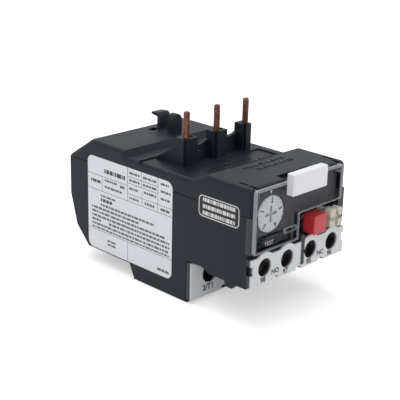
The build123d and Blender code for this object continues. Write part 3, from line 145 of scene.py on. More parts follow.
def print_rows(rng: np.random.Generator, rows: Sequence[Sequence[float]], word: float, gap: float) -> Array:
    """Breaks rows of print into plain bars as long as words, so that nothing can be read.

    Each row is cut at places that lie a random word's length apart, and each bar ends one gap before
    the next cut.

    Args:
        rng: where the words' lengths come from.
        rows: for each row its low and high end across, its middle up, and its height.
        word: the words' mean length.
        gap: the space between words.

    Returns:
        Rows of low across, high across, low up and high up.
    """
    bars = []
    for low, high, up, height in rows:
        cuts = low + np.cumsum(rng.uniform(*WORD_RANGE, int(2 + 2 * (high - low) / word)) * word)
        starts = np.r_[low, cuts[cuts < high]]
        ends = np.r_[starts[1:] - gap, high]
        kept = ends - starts > gap / 2
        bars.append(np.c_[starts, ends, np.full(len(starts), up - height / 2),
                          np.full(len(starts), up + height / 2)][kept])
    return np.concatenate(bars)


class Facing(Enum):
    """Which way a printed face looks: its reading direction, its up direction and its normal."""

    FRONT = ((1, 0, 0), (0, 0, 1), (0, -1, 0))
    LEFT = ((0, -1, 0), (0, 0, 1), (-1, 0, 0))
    TOP = ((1, 0, 0), (0, 1, 0), (0, 0, 1))

    def place(self, origin: Vector, local: Array) -> Array:
        """Carries points from the face's own axes to the frame.

        Args:
            origin: where the face's zero point lies, in metres.
            local: array of shape (..., 3): across, up and out of the face, in millimetres.

        Returns:
            The same points in metres.
        """
        return (local * MM) @ np.array(self.value, dtype=float) + np.array(origin)


class Value:
    """Wraps a shader socket so that plain operators add Math nodes."""

    def __init__(self, shader: "Shader", socket: bpy.types.NodeSocket) -> None:
        """Keeps the shader that the socket belongs to."""
        self.shader = shader
        self.socket = socket

    def _math(self, operation: str, first: "Value | float", second: "Value | float") -> "Value":
        """Adds one Math node.

        Args:
            operation: the Math node's operation.
            first: the left value.
            second: the right value.

        Returns:
            The node's result.
        """
        return self.shader.node("ShaderNodeMath", {"operation": operation}, {0: first, 1: second})

    def __add__(self, other: "Value | float") -> "Value":
        """Adds."""
        return self._math("ADD", self, other)

    def __sub__(self, other: "Value | float") -> "Value":
        """Subtracts."""
        return self._math("SUBTRACT", self, other)

    def __rsub__(self, other: float) -> "Value":
        """Subtracts from a number."""
        return self._math("SUBTRACT", other, self)

    def __mul__(self, other: "Value | float") -> "Value":
        """Multiplies."""
        return self._math("MULTIPLY", self, other)

    def contrast(self, amount: float) -> "Value":
        """Stretches a noise value about its middle, which becomes 0.4, and keeps it between 0 and 1."""
        return (self * amount - (amount / 2 - 0.4)).clipped()

    def clipped(self) -> "Value":
        """Keeps the value between 0 and 1."""
        return self._math("MINIMUM", self._math("MAXIMUM", self, 0.0), 1.0)


class Shader:
    """Builds one material's nodes round a Principled shader."""

    def __init__(self, name: str) -> None:
        """Makes the material with an empty tree and its output."""
        self.material = bpy.data.materials.new(name)
        self.material.use_nodes = True
        self.tree = self.material.node_tree
        self.tree.nodes.clear()
        output = self.tree.nodes.new("ShaderNodeOutputMaterial")
        self.surface = self.tree.nodes.new("ShaderNodeBsdfPrincipled")
        self.tree.links.new(self.surface.outputs[0], output.inputs["Surface"])

    def _feed(self, socket: bpy.types.NodeSocket, value: "Value | float | Sequence[float]") -> None:
        """Links a value to a socket, or sets it."""
        if isinstance(value, Value):
            self.tree.links.new(value.socket, socket)
        else:
            socket.default_value = value

    def node(self, kind: str, settings: dict | None = None, values: dict | None = None,
             result: int | str = 0) -> Value:
        """Adds one node.

        Args:
            kind: the node's type.
            settings: attributes set first; a ramp's stops go under "stops".
            values: values or links of its input sockets, by number or name.
            result: which output to return.

        Returns:
            The chosen output.
        """
        made = self.tree.nodes.new(kind)
        for key, setting in (settings or {}).items():
            if key == "stops":
                ramp = made.color_ramp
                while len(ramp.elements) < len(setting):
                    ramp.elements.new(0.5)
                for element, (position, colour) in zip(ramp.elements, setting):
                    element.position = position
                    element.color = colour
            else:
                setattr(made, key, setting)
        for key, value in (values or {}).items():
            self._feed(made.inputs[key], value)
        return Value(self, made.outputs[result])

    def coordinates(self) -> Value:
        """Gives Object coordinates, in metres."""
        return self.node("ShaderNodeTexCoord", result="Object")

    def noise(self, size: float, detail: float = 2.0, stretch: Triple = (1, 1, 1)) -> Value:
        """Gives a noise value from 0 to 1.

        Args:
            size: the size of its grains in millimetres.
            detail: how many finer layers it has.
            stretch: how much the grains are squeezed along each axis.

        Returns:
            The noise.
        """
        stretched = self.node("ShaderNodeMapping", None, {"Vector": self.coordinates(), "Scale": stretch})
        return self.node("ShaderNodeTexNoise", None,
                         {"Vector": stretched, "Scale": 1 / (size * MM), "Detail": detail})

    def blend(self, mask: "Value | float", first: "Colour | Value", second: "Colour | Value") -> Value:
        """Mixes two colours.

        Args:
            mask: 0 gives the first colour and 1 the second.
            first: colour at 0.
            second: colour at 1.

        Returns:
            The mixed colour.
        """
        ends = [colour if isinstance(colour, Value) else (*colour, 1) for colour in (first, second)]
        return self.node("ShaderNodeMix", {"data_type": "RGBA"}, {0: mask, 6: ends[0], 7: ends[1]}, 2)

    def relief(self, height: Value, depth: float, rounding: float) -> Value:
        """Turns a height into a bumped normal over softly rounded edges.

        Args:
            height: the height from 0 to 1.
            depth: what a height of 1 stands for, in millimetres.
            rounding: the radius that hard edges are shown with, in millimetres.

        Returns:
            The normal.
        """
        soft = self.node("ShaderNodeBevel", {"samples": 4}, {"Radius": rounding * MM})
        return self.node("ShaderNodeBump", None,
                         {"Strength": 1.0, "Distance": depth * MM, "Height": height, "Normal": soft})

    def set(self, **values: "Value | float | Sequence[float]") -> None:
        """Sets sockets of the Principled shader, with underscores for spaces in their names."""
        for key, value in values.items():
            self._feed(self.surface.inputs[key.replace("_", " ")], value)


@dataclass(frozen=True)
class Moulded:
    """Moulded plastic with a fine grain and softly rounded edges."""

    name: str
    colour: Colour
    dusty: Colour
    roughness: float = 0.5
    spread: float = 0.12
    grain: float = 0.16
    grain_depth: float = 0.006
    edge: float = 0.18
    specular: float = 0.5
    sheen_tint: Colour = (1.0, 1.0, 1.0)
    patch: float = 9.0
    # The inner colour is painted shade: the surface turns to it deep in holes and slots.
    inner: Colour | None = None
    shade_from: float = 0.0
    shade_fade: float = 0.6

    def build(self) -> bpy.types.Material:
        """Makes the material; past a set depth along Y, in metres, it turns to its inner colour, which is
        painted shade.
        """
        shader = Shader(self.name)
        cloud = shader.noise(self.patch, 4.0)
        fine = shader.noise(self.grain)
        colour = shader.blend(cloud.contrast(1.6), self.colour, self.dusty)
        # Painted shade: past the set depth the colour fades to the inner colour.
        if self.inner:
            deep = shader.node("ShaderNodeSeparateXYZ", None, {0: shader.coordinates()}, 1)
            mask = ((deep - self.shade_from) * (1 / (self.shade_fade * MM))).clipped()
            colour = shader.blend(mask, colour, self.inner)
        shader.set(Base_Color=colour,
                   Roughness=(cloud * self.spread + fine * self.spread + (self.roughness - self.spread)),
                   Normal=shader.relief(fine, self.grain_depth, self.edge))
        shader.set(Specular_IOR_Level=self.specular, Specular_Tint=(*self.sheen_tint, 1))
        return shader.material


@dataclass(frozen=True)
class Metal:
    """Rolled, plated or drawn metal with faint streaks along one way."""

    name: str
    colour: Colour
    worn: Colour
    roughness: float = 0.3
    streak: Triple = (1.0, 1.0, 0.12)
    edge: float = 0.08
    patch: float = 2.2
    line: float = 0.12
    line_depth: float = 0.003
    patch_spread: float = 0.16
    line_spread: float = 0.12

    def build(self) -> bpy.types.Material:
        """Makes the material."""
        shader = Shader(self.name)
        cloud = shader.noise(self.patch, 4.0)
        lines = shader.noise(self.line, stretch=self.streak)
        shader.set(Base_Color=shader.blend(cloud.contrast(2.2), self.colour, self.worn),
                   Roughness=(cloud * self.patch_spread + lines * self.line_spread
                              + (self.roughness - self.line_spread)),
                   Normal=shader.relief(lines, self.line_depth, self.edge))
        shader.set(Metallic=1.0)
        return shader.material


@dataclass(frozen=True)
class Clear:
    """Clear moulded plastic that light passes straight through, milky at its cut edges: a painted highlight
    for the light that runs out of them.
    """

    name: str
    colour: Colour
    alpha: float = 0.0
    edge_highlight_alpha: float = 0.6
    roughness: float = 0.1
    ripple: float = 3.0
    ripple_depth: float = 0.02
    edge: float = 0.12

    def build(self) -> bpy.types.Material:
        """Makes the material: the broad faces look along Y, and all others are edges."""
        shader = Shader(self.name)
        # Painted highlight: faces that don't look along Y are made more opaque and pale.
        facing = shader.node("ShaderNodeSeparateXYZ", None,
                             {0: shader.node("ShaderNodeTexCoord", result="Normal")}, 1)
        cut = 1.0 - (facing * facing).clipped()
        shader.set(Base_Color=(*self.colour, 1), Roughness=self.roughness, IOR=1.5,
                   Alpha=(cut * (self.edge_highlight_alpha - self.alpha) + self.alpha).clipped(),
                   Normal=shader.relief(shader.noise(self.ripple), self.ripple_depth, self.edge))
        shader.set(Specular_IOR_Level=0.5)
        return shader.material


@dataclass(frozen=True)
class Ink:
    """Flat print with slightly uneven cover."""

    name: str
    colour: Colour
    faded: Colour
    roughness: float = 0.55
    patch: float = 0.5

    def build(self) -> bpy.types.Material:
        """Makes the material."""
        shader = Shader(self.name)
        cover = shader.noise(self.patch, 3.0).contrast(1.8)
        shader.set(Base_Color=shader.blend(cover, self.colour, self.faded), Roughness=self.roughness)
        return shader.material


BLACK_PLASTIC = Moulded("black_case_plastic", (0.0048, 0.0072, 0.0110), (0.0078, 0.0107, 0.0155), 0.5,
                        grain_depth=0.003, specular=0.26, sheen_tint=(0.82, 0.92, 1.0))
# Paler than the case: painted haze, the light that the hazy clear cover in front of it scatters, laid into
# the panel's colour.
PANEL_PLASTIC_PAINTED_HAZE = Moulded("front_panel_painted_haze", (0.038, 0.040, 0.047), (0.049, 0.051, 0.059), 0.5,
                        grain_depth=0.003, specular=0.26)
GREY_PLASTIC = Moulded("pale_terminal_plastic", (0.70, 0.71, 0.72), (0.62, 0.63, 0.63), 0.5)
WHITE_PLASTIC = Moulded("white_marker_plastic", (0.83, 0.83, 0.83), (0.78, 0.78, 0.78), 0.45)
DIAL_PLASTIC = Moulded("white_dial_plastic", (0.56, 0.57, 0.59), (0.50, 0.51, 0.53), 0.42)
RED_PLASTIC = Moulded("red_button_plastic", (0.56, 0.040, 0.042), (0.46, 0.030, 0.032), 0.34)
CREAM_PLASTIC = Moulded("cream_knob_plastic", (0.60, 0.57, 0.50), (0.52, 0.48, 0.41), 0.4)
INNER_PLASTIC = Moulded("inner_slide_plastic", (0.52, 0.48, 0.38), (0.44, 0.40, 0.31), 0.5)
LABEL_FILM = Moulded("label_film", (0.83, 0.85, 0.87), (0.78, 0.80, 0.82), 0.4, spread=0.06, grain=0.3,
                     grain_depth=0.002, edge=0.05)
SEAL_FILM = replace(LABEL_FILM, name="seal_film", colour=(0.010, 0.012, 0.015), dusty=(0.016, 0.018, 0.021),
                    specular=0.3)
CLEAR_PLASTIC = Clear("clear_cover_plastic", (0.45, 0.46, 0.50))
# Painted highlight: the bands that stand for light at the cover's edges.
EDGE_HIGHLIGHT_PLASTIC = Clear("clear_cover_painted_highlight", (0.40, 0.41, 0.45), alpha=0.5, edge_highlight_alpha=0.5)
COPPER = Metal("pin_copper", (0.17, 0.078, 0.058), (0.07, 0.033, 0.026), 0.34)
BRASS = Metal("terminal_brass", (0.62, 0.45, 0.20), (0.50, 0.35, 0.16), 0.3)
ZINC = Metal("zinc_plate", (0.56, 0.56, 0.54), (0.42, 0.42, 0.40), 0.34)
SPRING_STEEL = Metal("spring_wire", (0.50, 0.50, 0.51), (0.36, 0.36, 0.37), 0.28)
HEATER_METAL = Metal("heater_strip", (0.36, 0.33, 0.29), (0.25, 0.22, 0.19), 0.4)
BIMETAL = Metal("bimetal_strip", (0.50, 0.47, 0.42), (0.38, 0.34, 0.30), 0.34)
BRONZE = Metal("blade_bronze", (0.55, 0.36, 0.18), (0.42, 0.27, 0.14), 0.3)
# Painted shade: the terminal screws are made near black because they sit deep in shaded holes.
SCREW_STEEL_PAINTED_SHADE = Metal("screw_steel_painted_shade", (0.05, 0.05, 0.052), (0.03, 0.03, 0.032), 0.42)
BLACK_INK = Ink("black_print", (0.02, 0.02, 0.022), (0.06, 0.06, 0.062))
GREY_INK = Ink("grey_print", (0.10, 0.10, 0.11), (0.17, 0.17, 0.18))
DIM_INK = Ink("dim_white_print", (0.42, 0.42, 0.42), (0.30, 0.30, 0.30))
WHITE_INK = Ink("white_print", (0.80, 0.80, 0.79), (0.62, 0.62, 0.61))
MOULDED_MARKS = Moulded("moulded_marks", (0.006, 0.008, 0.011), (0.010, 0.013, 0.017), 0.45,
                        specular=0.3)

SLOT_FINISHES = {
    "case_plastic": BLACK_PLASTIC, "clear_cover": CLEAR_PLASTIC, "white_plastic": WHITE_PLASTIC,
    "dial_plastic": DIAL_PLASTIC, "inner_plastic": INNER_PLASTIC, "red_plastic": RED_PLASTIC,
    "cream_plastic": CREAM_PLASTIC, "grey_plastic": GREY_PLASTIC, "spring_steel": SPRING_STEEL,
    "zinc_steel": ZINC, "brass": BRASS, "copper": COPPER, "heater_metal": HEATER_METAL,
    "bimetal": BIMETAL, "blade_bronze": BRONZE, "label_paper": LABEL_FILM, "seal_film": SEAL_FILM,
}


class Finishes:
    """Makes each material once and hands it out."""

    def __init__(self) -> None:
        """Starts with no materials made."""
        self._made: dict[str, bpy.types.Material] = {}

    def get(self, finish: Moulded | Metal | Clear | Ink) -> bpy.types.Material:
        """Gives a finish's material.

        Args:
            finish: which finish.

        Returns:
            Its material, made on first use.
        """
        if finish.name not in self._made:
            self._made[finish.name] = finish.build()
        return self._made[finish.name]


@dataclass
class Piece:
    """One added mesh: its points and faces, and what it rides on."""

    name: str
    body: str
    slot: str
    finish: Moulded | Metal | Clear | Ink
    points: list[Array] = field(default_factory=list)
    faces: list[Array] = field(default_factory=list)
    count: int = 0

    def add(self, points: Array, faces: Array) -> None:
        """Adds points in metres and faces that index them.

        Args:
            points: array of shape (n, 3).
            faces: rows of four indices into points; a triangle's last index is there twice.
        """
        self.faces.append(np.asarray(faces, dtype=int) + self.count)
        self.points.append(points)
        self.count += len(points)

    def slabs(self, face: Facing, origin: Vector, boxes: Array, thickness: float = PRINT_RISE) -> None:
        """Adds thin closed slabs lying on a face, one for each box.

        The eight corners of each slab are its low and high edges in both directions of the face, at
        the face and one thickness above it.

        Args:
            face: the face they lie on.
            origin: the face's zero point, in metres.
            boxes: rows of low across, high across, low up and high up, in millimetres.
            thickness: how far they stand out, in millimetres.
        """
        boxes = np.asarray(boxes, dtype=float).reshape(-1, 4)
        picks = np.array([[0, 2], [1, 2], [1, 3], [0, 3]])
        flat = boxes[:, picks]
        low = np.dstack([flat, np.full(flat.shape[:2], -PRINT_SINK)])
        high = np.dstack([flat, np.full(flat.shape[:2], thickness)])
        corners = np.concatenate([low, high], axis=1).reshape(-1, 3)
        sides = np.array([[3, 2, 1, 0], [4, 5, 6, 7], [0, 1, 5, 4], [1, 2, 6, 5], [2, 3, 7, 6], [3, 0, 4, 7]])
        faces = (sides[None] + 8 * np.arange(len(boxes))[:, None, None]).reshape(-1, 4)
        self.add(face.place(origin, corners), faces)

    def prism(self, face: Facing, origin: Vector, outline: Array,
              thickness: float = PRINT_RISE) -> None:
        """Adds a thin closed plate with a straight-sided convex outline.

        Args:
            face: the face it lies on.
            origin: the face's zero point, in metres.
            outline: array of shape (n, 2), anticlockwise, in millimetres.
            thickness: how far it stands out, in millimetres.
        """
        count = len(outline)
        local = np.concatenate([np.c_[outline, np.full(count, up)] for up in (-PRINT_SINK, thickness)])
        here = np.arange(count)
        ahead = (here + 1) % count
        walls = np.stack([here, ahead, ahead + count, here + count], 1)
        fan = np.stack([np.zeros(count - 2, int), here[1:-1], here[2:], here[2:]], 1)
        self.add(face.place(origin, local), np.concatenate([walls, fan + count, fan[:, [0, 2, 1, 1]]]))

    def ring(self, face: Facing, origin: Vector, outline: Array, width: float,
             thickness: float = PRINT_RISE) -> None:
        """Adds a thin closed band round an outline.

        The band's section is a rectangle carried round the outline, and its inner side is the outline
        moved towards its middle by the width.

        Args:
            face: the face it lies on.
            origin: the face's zero point, in metres.
            outline: array of shape (n, 2), anticlockwise, in millimetres.
            width: the band's width in millimetres.
            thickness: how far it stands out, in millimetres.
        """
        ahead = np.roll(outline, -1, 0) - np.roll(outline, 1, 0)
        inward = np.stack([-ahead[:, 1], ahead[:, 0]], 1)
        inward /= np.linalg.norm(inward, axis=1)[:, None]
        inner = outline + inward * width
        section = ((outline, -PRINT_SINK), (outline, thickness), (inner, thickness), (inner, -PRINT_SINK))
        grid = np.stack([np.c_[flat, np.full(len(flat), up)] for flat, up in section])
        self.grid(face.place(origin, grid), True, True)

    def grid(self, points: Array, wrap_rows: bool, wrap_columns: bool, capped: bool = False) -> None:
        """Adds a grid of quads over an array of points.

        Args:
            points: array of shape (rows, columns, 3), in metres.
            wrap_rows: whether the last row joins the first.
            wrap_columns: whether the last column joins the first.
            capped: whether the first and last rows, as closed rings, are filled from their middles.
        """
        rows, columns = points.shape[:2]
        down = np.arange(rows if wrap_rows else rows - 1)
        along = np.arange(columns if wrap_columns else columns - 1)
        r, c = np.meshgrid(down, along, indexing="ij")
        r_next, c_next = (r + 1) % rows, (c + 1) % columns
        quads = np.stack([r * columns + c, r * columns + c_next, r_next * columns + c_next,
                          r_next * columns + c], -1).reshape(-1, 4)
        flat = points.reshape(-1, 3)
        if capped:
            last, first_hub = (rows - 1) * columns, rows * columns
            ahead = (along + 1) % columns
            start = np.stack([ahead, along] + [np.full(columns, first_hub)] * 2, 1)
            finish = np.stack([along + last, ahead + last] + [np.full(columns, first_hub + 1)] * 2, 1)
            quads = np.concatenate([quads, start, finish])
            flat = np.concatenate([flat, points[[0, -1]].mean(1)])
        self.add(flat, quads)

    def words(self, face: Facing, origin: Vector, text: str, size: float, across: float = 0.0,
              up: float = 0.0, turn: float = 0.0, thickness: float = PRINT_RISE, bold: float = 0.03) -> None:
        """Adds raised lettering, centred on a place of a face.

        Args:
            face: the face it lies on.
            origin: the face's zero point, in metres.
            text: what it says.
            size: the letters' height in millimetres.
            across: its middle along the reading direction, in millimetres.
            up: its middle along the up direction, in millimetres.
            turn: its turn on the face, anticlockwise, in degrees.
            thickness: how far it stands out, in millimetres.
            bold: how far the strokes grow on each side, as a share of the letters' height.
        """
        curve = bpy.data.curves.new("lettering", "FONT")
        curve.body = text
        curve.size = size * FONT_SCALE
        curve.offset = size * bold
        curve.align_x = "CENTER"
        curve.align_y = "CENTER"
        curve.extrude = thickness / 2
        curve.resolution_u = 3
        holder = bpy.data.objects.new("lettering", curve)
        bpy.context.scene.collection.objects.link(holder)
        bpy.context.view_layer.update()
        mesh = bpy.data.meshes.new_from_object(holder)
        points = np.empty(len(mesh.vertices) * 3)
        mesh.vertices.foreach_get("co", points)
        points = points.reshape(-1, 3)
        mesh.calc_loop_triangles()
        triangles = np.empty(len(mesh.loop_triangles) * 3, dtype=np.int32)
        mesh.loop_triangles.foreach_get("vertices", triangles)
        bpy.data.objects.remove(holder)
        bpy.data.curves.remove(curve)
        bpy.data.meshes.remove(mesh)
        angle = np.radians(turn)
        spin = np.array([[np.cos(angle), -np.sin(angle)], [np.sin(angle), np.cos(angle)]])
        flat = points[:, :2] @ spin.T + np.array([across, up])
        local = np.c_[flat, points[:, 2] + (thickness - PRINT_SINK) / 2]
        triangles = triangles.reshape(-1, 3)
        self.add(face.place(origin, local), np.c_[triangles, triangles[:, 2]])

    def make(self, finishes: Finishes) -> bpy.types.Object:
        """Makes the object, gives it its material and ties it to its body.

        Args:
            finishes: where materials come from.

        Returns:
            The object.
        """
        faces = [tuple(row[:3]) if row[2] == row[3] else tuple(row)
                 for row in np.concatenate(self.faces).tolist()]
        mesh = bpy.data.meshes.new(self.name)
        mesh.from_pydata(np.concatenate(self.points).tolist(), [], faces)
        mesh.validate()
        mesh.update()
        mesh.materials.append(finishes.get(self.finish))
        made = bpy.data.objects.new(self.name, mesh)
        bpy.context.scene.collection.objects.link(made)
        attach(made, self.body)
        LOG.info("%s: %d faces on %s", self.name, len(faces), self.body)
        return made


@dataclass
class CadFinishes:
    """Gives every CAD node the finish of its material slot."""

    finishes: Finishes
    # Painted shade: the colours that the terminal holes and the dial's cross slot turn to behind their faces.
    hole_painted_shade: Colour = (0.012, 0.013, 0.014)
    slot_painted_shade: Colour = (0.16, 0.17, 0.165)
    flange: float = 0.25
    slot_floor: float = 0.35

    def _own_finishes(self) -> dict[str, Moulded | Metal]:
        """Gives the finishes of nodes that differ from their slot: painted shade deep in the terminal holes
        and the dial's slot, screws made near black as painted shade, and the front panel paler with painted
        haze.
        """
        own: dict[str, Moulded | Metal] = {}
        # Painted shade: past these depths behind each face the surface turns dark.
        for node, base, colour, from_face in (
                ("aux_terminal_block", GREY_PLASTIC, self.hole_painted_shade, self.flange),
                ("power_terminal_block", GREY_PLASTIC, self.hole_painted_shade, self.flange),
                ("setting_dial", DIAL_PLASTIC, self.slot_painted_shade, self.slot_floor)):
            face = spot(node, 0, 0, 0).y
            own[node] = replace(base, name=f"{node}_plastic", inner=colour, shade_from=face + from_face * MM)
        # Front panel paler by painted haze.
        own["front_panel"] = PANEL_PLASTIC_PAINTED_HAZE
        # Screws made near black as painted shade of their deep holes.
        for text in CONTACT_MARKS:
            own[f"aux_terminal_screw_{text}"] = SCREW_STEEL_PAINTED_SHADE
        for number in range(1, 1 + len(POWER_MARKS)):
            own[f"power_terminal_screw_{number}"] = SCREW_STEEL_PAINTED_SHADE
        return own

    def dress(self, frame: dict) -> None:
        """Assigns the materials.
        """
        slots = {row["node"]: row["material_slot"] for row in frame["record"]["subparts"]}
        own = self._own_finishes()
        for node, item in frame["nodes"].items():
            material = self.finishes.get(own.get(node) or SLOT_FINISHES[slots[node]])
            item.data.materials.clear()
            item.data.materials.append(material)
            LOG.info("%s gets %s", node, material.name)


@dataclass
class RatingLabel:
    """Ruled table and rows of plain bars on the side label, in place of its small print.

    Places across are shares of the label's width from its back end, and places up are shares of its
    height from the bottom. A level rule is its two ends and its place up, an upright rule its place
    across and its two ends, and a row its two ends, its middle up and its height, which weight makes
    larger.
    """

    finishes: Finishes
    node: str = "rating_label"
    line: float = 0.16
    weight: float = 1.35
    word: float = 1.7
    gap: float = 0.32
    level_rules: tuple = ((0.0, 0.49, 0.81), (0.0, 1.0, 0.65), (0.49, 0.84, 0.91), (0.49, 0.84, 0.84),
                          (0.49, 1.0, 0.73), (0.0, 1.0, 0.21))
    upright_rules: tuple = ((0.49, 0.65, 1.0), (0.18, 0.65, 0.81), (0.65, 0.84, 1.0), (0.66, 0.65, 0.79),
                            (0.84, 0.65, 1.0), (0.49, 0.0, 0.21))
    heavy_rows: tuple = ((0.21, 0.46, 0.875, 0.032), (0.04, 0.16, 0.74, 0.022), (0.16, 0.30, 0.555, 0.024))
    fine_rows: tuple = (
        (0.21, 0.36, 0.78, 0.017), (0.40, 0.46, 0.77, 0.02), (0.21, 0.42, 0.71, 0.017),
        (0.51, 0.63, 0.95, 0.017), (0.67, 0.82, 0.95, 0.017), (0.87, 0.96, 0.95, 0.017),
        (0.51, 0.63, 0.875, 0.017), (0.67, 0.82, 0.875, 0.017), (0.87, 0.98, 0.875, 0.017),
        (0.51, 0.62, 0.79, 0.017), (0.68, 0.82, 0.80, 0.017), (0.87, 0.97, 0.80, 0.017),
        (0.51, 0.62, 0.69, 0.017), (0.69, 0.80, 0.69, 0.02), (0.87, 0.97, 0.69, 0.02),
        (0.16, 0.34, 0.60, 0.015), (0.16, 0.80, 0.50, 0.017), (0.05, 0.62, 0.455, 0.017),
        (0.05, 0.92, 0.41, 0.017), (0.05, 0.97, 0.365, 0.017), (0.05, 0.16, 0.32, 0.017),
        (0.26, 0.97, 0.32, 0.017), (0.05, 0.96, 0.275, 0.017), (0.05, 0.97, 0.235, 0.013),
        (0.24, 0.34, 0.13, 0.015), (0.24, 0.34, 0.09, 0.015), (0.84, 0.97, 0.06, 0.02),
    )

    def _piece(self, name: str, finish: Ink) -> Piece:
        """Starts a piece of print that rides with the case."""
        return Piece(name, "case", "label_paper", finish)

    def build(self) -> None:
        """Prints the rules and both weights of small print."""
        rng = np.random.default_rng(SEED)
        corner = spot(self.node, 0, 1, 0)
        wide, tall = extent(self.node).y, extent(self.node).z
        level = np.array([(low * wide, high * wide, up * tall - self.line / 2, up * tall + self.line / 2)
                          for low, high, up in self.level_rules])
        upright = np.array([(across * wide - self.line / 2, across * wide + self.line / 2,
                             low * tall, high * tall) for across, low, high in self.upright_rules])
        rules = self._piece("rating_label_rules", GREY_INK)
        rules.slabs(Facing.LEFT, corner, np.concatenate([level, upright]), FILM_RISE)
        rules.make(self.finishes)
        scale = np.array([wide, wide, tall, tall * self.weight])
        for name, rows, finish in (("rating_label_heavy_print", self.heavy_rows, BLACK_INK),
                                   ("rating_label_fine_print", self.fine_rows, GREY_INK)):
            piece = self._piece(name, finish)
            piece.slabs(Facing.LEFT, corner, print_rows(rng, rows * scale, self.word, self.gap),
                        FILM_RISE)
            piece.make(self.finishes)


@dataclass
class SealSticker:
    """White frame and three rows of plain bars on the small black sticker, in place of its wording."""

    finishes: Finishes
    node: str = "seal_sticker"
    inset: float = 0.45
    radius: float = 1.6
    band: float = 0.3
    letter: float = 1.25
    pitch: float = 2.15
    side_margin: float = 2.2
    word: float = 1.15
    gap: float = 0.24

    def build(self) -> None:
        """Prints the frame and the rows."""
        wide, tall = extent(self.node).y, extent(self.node).z
        centre = spot(self.node, 0, 0.5, 0.5)
        frame = Piece("seal_sticker_frame", "case", "seal_film", WHITE_INK)
        frame.ring(Facing.LEFT, centre, rounded(wide - 2 * self.inset, tall - 2 * self.inset, self.radius),
                   self.band, FILM_RISE)
        frame.make(self.finishes)
        reach = wide / 2 - self.side_margin
        rows = [(-reach, reach, step * self.pitch, self.letter) for step in (1, 0, -1)]
        words = Piece("seal_sticker_rows", "case", "seal_film", WHITE_INK)
        bars = print_rows(np.random.default_rng(SEED), rows, self.word, self.gap)
        words.slabs(Facing.LEFT, centre, bars, FILM_RISE)
        words.make(self.finishes)


@dataclass
class TerminalMarks:
    """Contact and pole numbers under the terminal holes.

    Rises are heights over a block's bottom edge, and shift moves each number beside its hole's middle.
    """

    finishes: Finishes
    letter: float = 1.75
    pair_letter: float = 1.61
    power_letter: float = 2.0
    bold: float = 0.055
    shift: float = -0.7
    aux_rise: float = 1.3
    pair_rise: float = 2.75
    power_rise: float = 2.75

    def _front(self, node: str, rise: float) -> Vector:
        """Gives a point on the middle line of a block's front, a rise above its bottom edge."""
        point = spot(node, 0.5, 0, 0)
        return point + Vector((0, 0, rise * MM))

    def build(self) -> None:
        """Prints all the numbers."""
        marks = Piece("contact_numbers", "case", "grey_plastic", BLACK_INK)
        places = [middle(f"aux_terminal_screw_{text}") for text in CONTACT_MARKS]
        for text, across in zip(CONTACT_MARKS, places):
            marks.words(Facing.FRONT, self._front("aux_terminal_block", self.aux_rise), text, self.letter,
                        across + self.shift, bold=self.bold)
        for text, pair in (("NO", places[:2]), ("NC", places[2:])):
            marks.words(Facing.FRONT, self._front("aux_terminal_block", self.pair_rise), text,
                        self.pair_letter, sum(pair) / 2 + self.shift / 2, bold=self.bold)
        marks.make(self.finishes)
        poles = Piece("pole_numbers", "case", "grey_plastic", BLACK_INK)
        for number, text in enumerate(POWER_MARKS, 1):
            poles.words(Facing.FRONT, self._front("power_terminal_block", self.power_rise), text,
                        self.power_letter, middle(f"power_terminal_screw_{number}") + self.shift,
                        bold=self.bold)
        poles.make(self.finishes)


@dataclass
class DialMarks:
    """Numbers and ticks round the setting dial, its pointer mark, and the word on the test slide.

    Angles are in degrees, and a share is one of the dial's radius. A tick is half its width and half its
    length, and word_place is a share of the slide's width and of its height.
    """

    finishes: Finishes
    letter: float = 1.6
    first_angle: float = 157.0
    spacing: float = 72.0
    bold: float = 0.05
    number_share: float = 0.72
    tick_share: float = 0.9
    tick: tuple = (0.09, 0.252)
    ticks_each: int = 4
    pointer: tuple = ((0.0, -0.35), (0.55, 0.6), (-0.55, 0.6))
    pointer_rise: float = 0.9
    word: float = 1.35
    word_place: tuple = (0.31, 0.11)
    panel_step: float = 1.7

    def build(self) -> None:
        """Prints the dial, the pointer and the slide's word."""
        radius = extent("setting_dial").x / 2
        centre = spot("setting_dial", 0.5, 0, 0.5)
        numbers = Piece("dial_numbers", "dial", "dial_plastic", BLACK_INK)
        for step, text in enumerate(DIAL_NUMBERS):
            angle = np.radians(self.first_angle - step * self.spacing)
            reach = radius * self.number_share
            numbers.words(Facing.FRONT, centre, text, self.letter, reach * np.cos(angle),
                          reach * np.sin(angle), np.degrees(angle) - 90, FILM_RISE, self.bold)
        numbers.make(self.finishes)
        ticks = Piece("dial_ticks", "dial", "dial_plastic", GREY_INK)
        steps = np.arange(len(DIAL_NUMBERS) * self.ticks_each) / self.ticks_each
        turns = np.radians(self.first_angle - self.spacing * steps)
        half, long = self.tick
        corners = np.array([[-half, -long], [half, -long], [half, long], [-half, long]])
        for turn in turns:
            out = np.array([np.cos(turn), np.sin(turn)])
            side = np.array([out[1], -out[0]])
            flat = corners[:, :1] * side + corners[:, 1:] * out + out * radius * self.tick_share
            ticks.prism(Facing.FRONT, centre, flat, FILM_RISE)
        ticks.make(self.finishes)
        top = spot("front_panel", 0.5, 0, 0)
        mark = Piece("dial_pointer", "case", "white_plastic", WHITE_INK)
        above = centre.z + (radius + self.pointer_rise) * MM
        place = Vector((centre.x, top.y + self.panel_step * MM, above))
        mark.prism(Facing.FRONT, place, np.array(self.pointer))
        mark.make(self.finishes)
        word = Piece("test_word", "test", "case_plastic", DIM_INK)
        across, up = self.word_place
        word.words(Facing.FRONT, spot("test_slide", across, 0, up), "TEST", self.word)
        word.make(self.finishes)


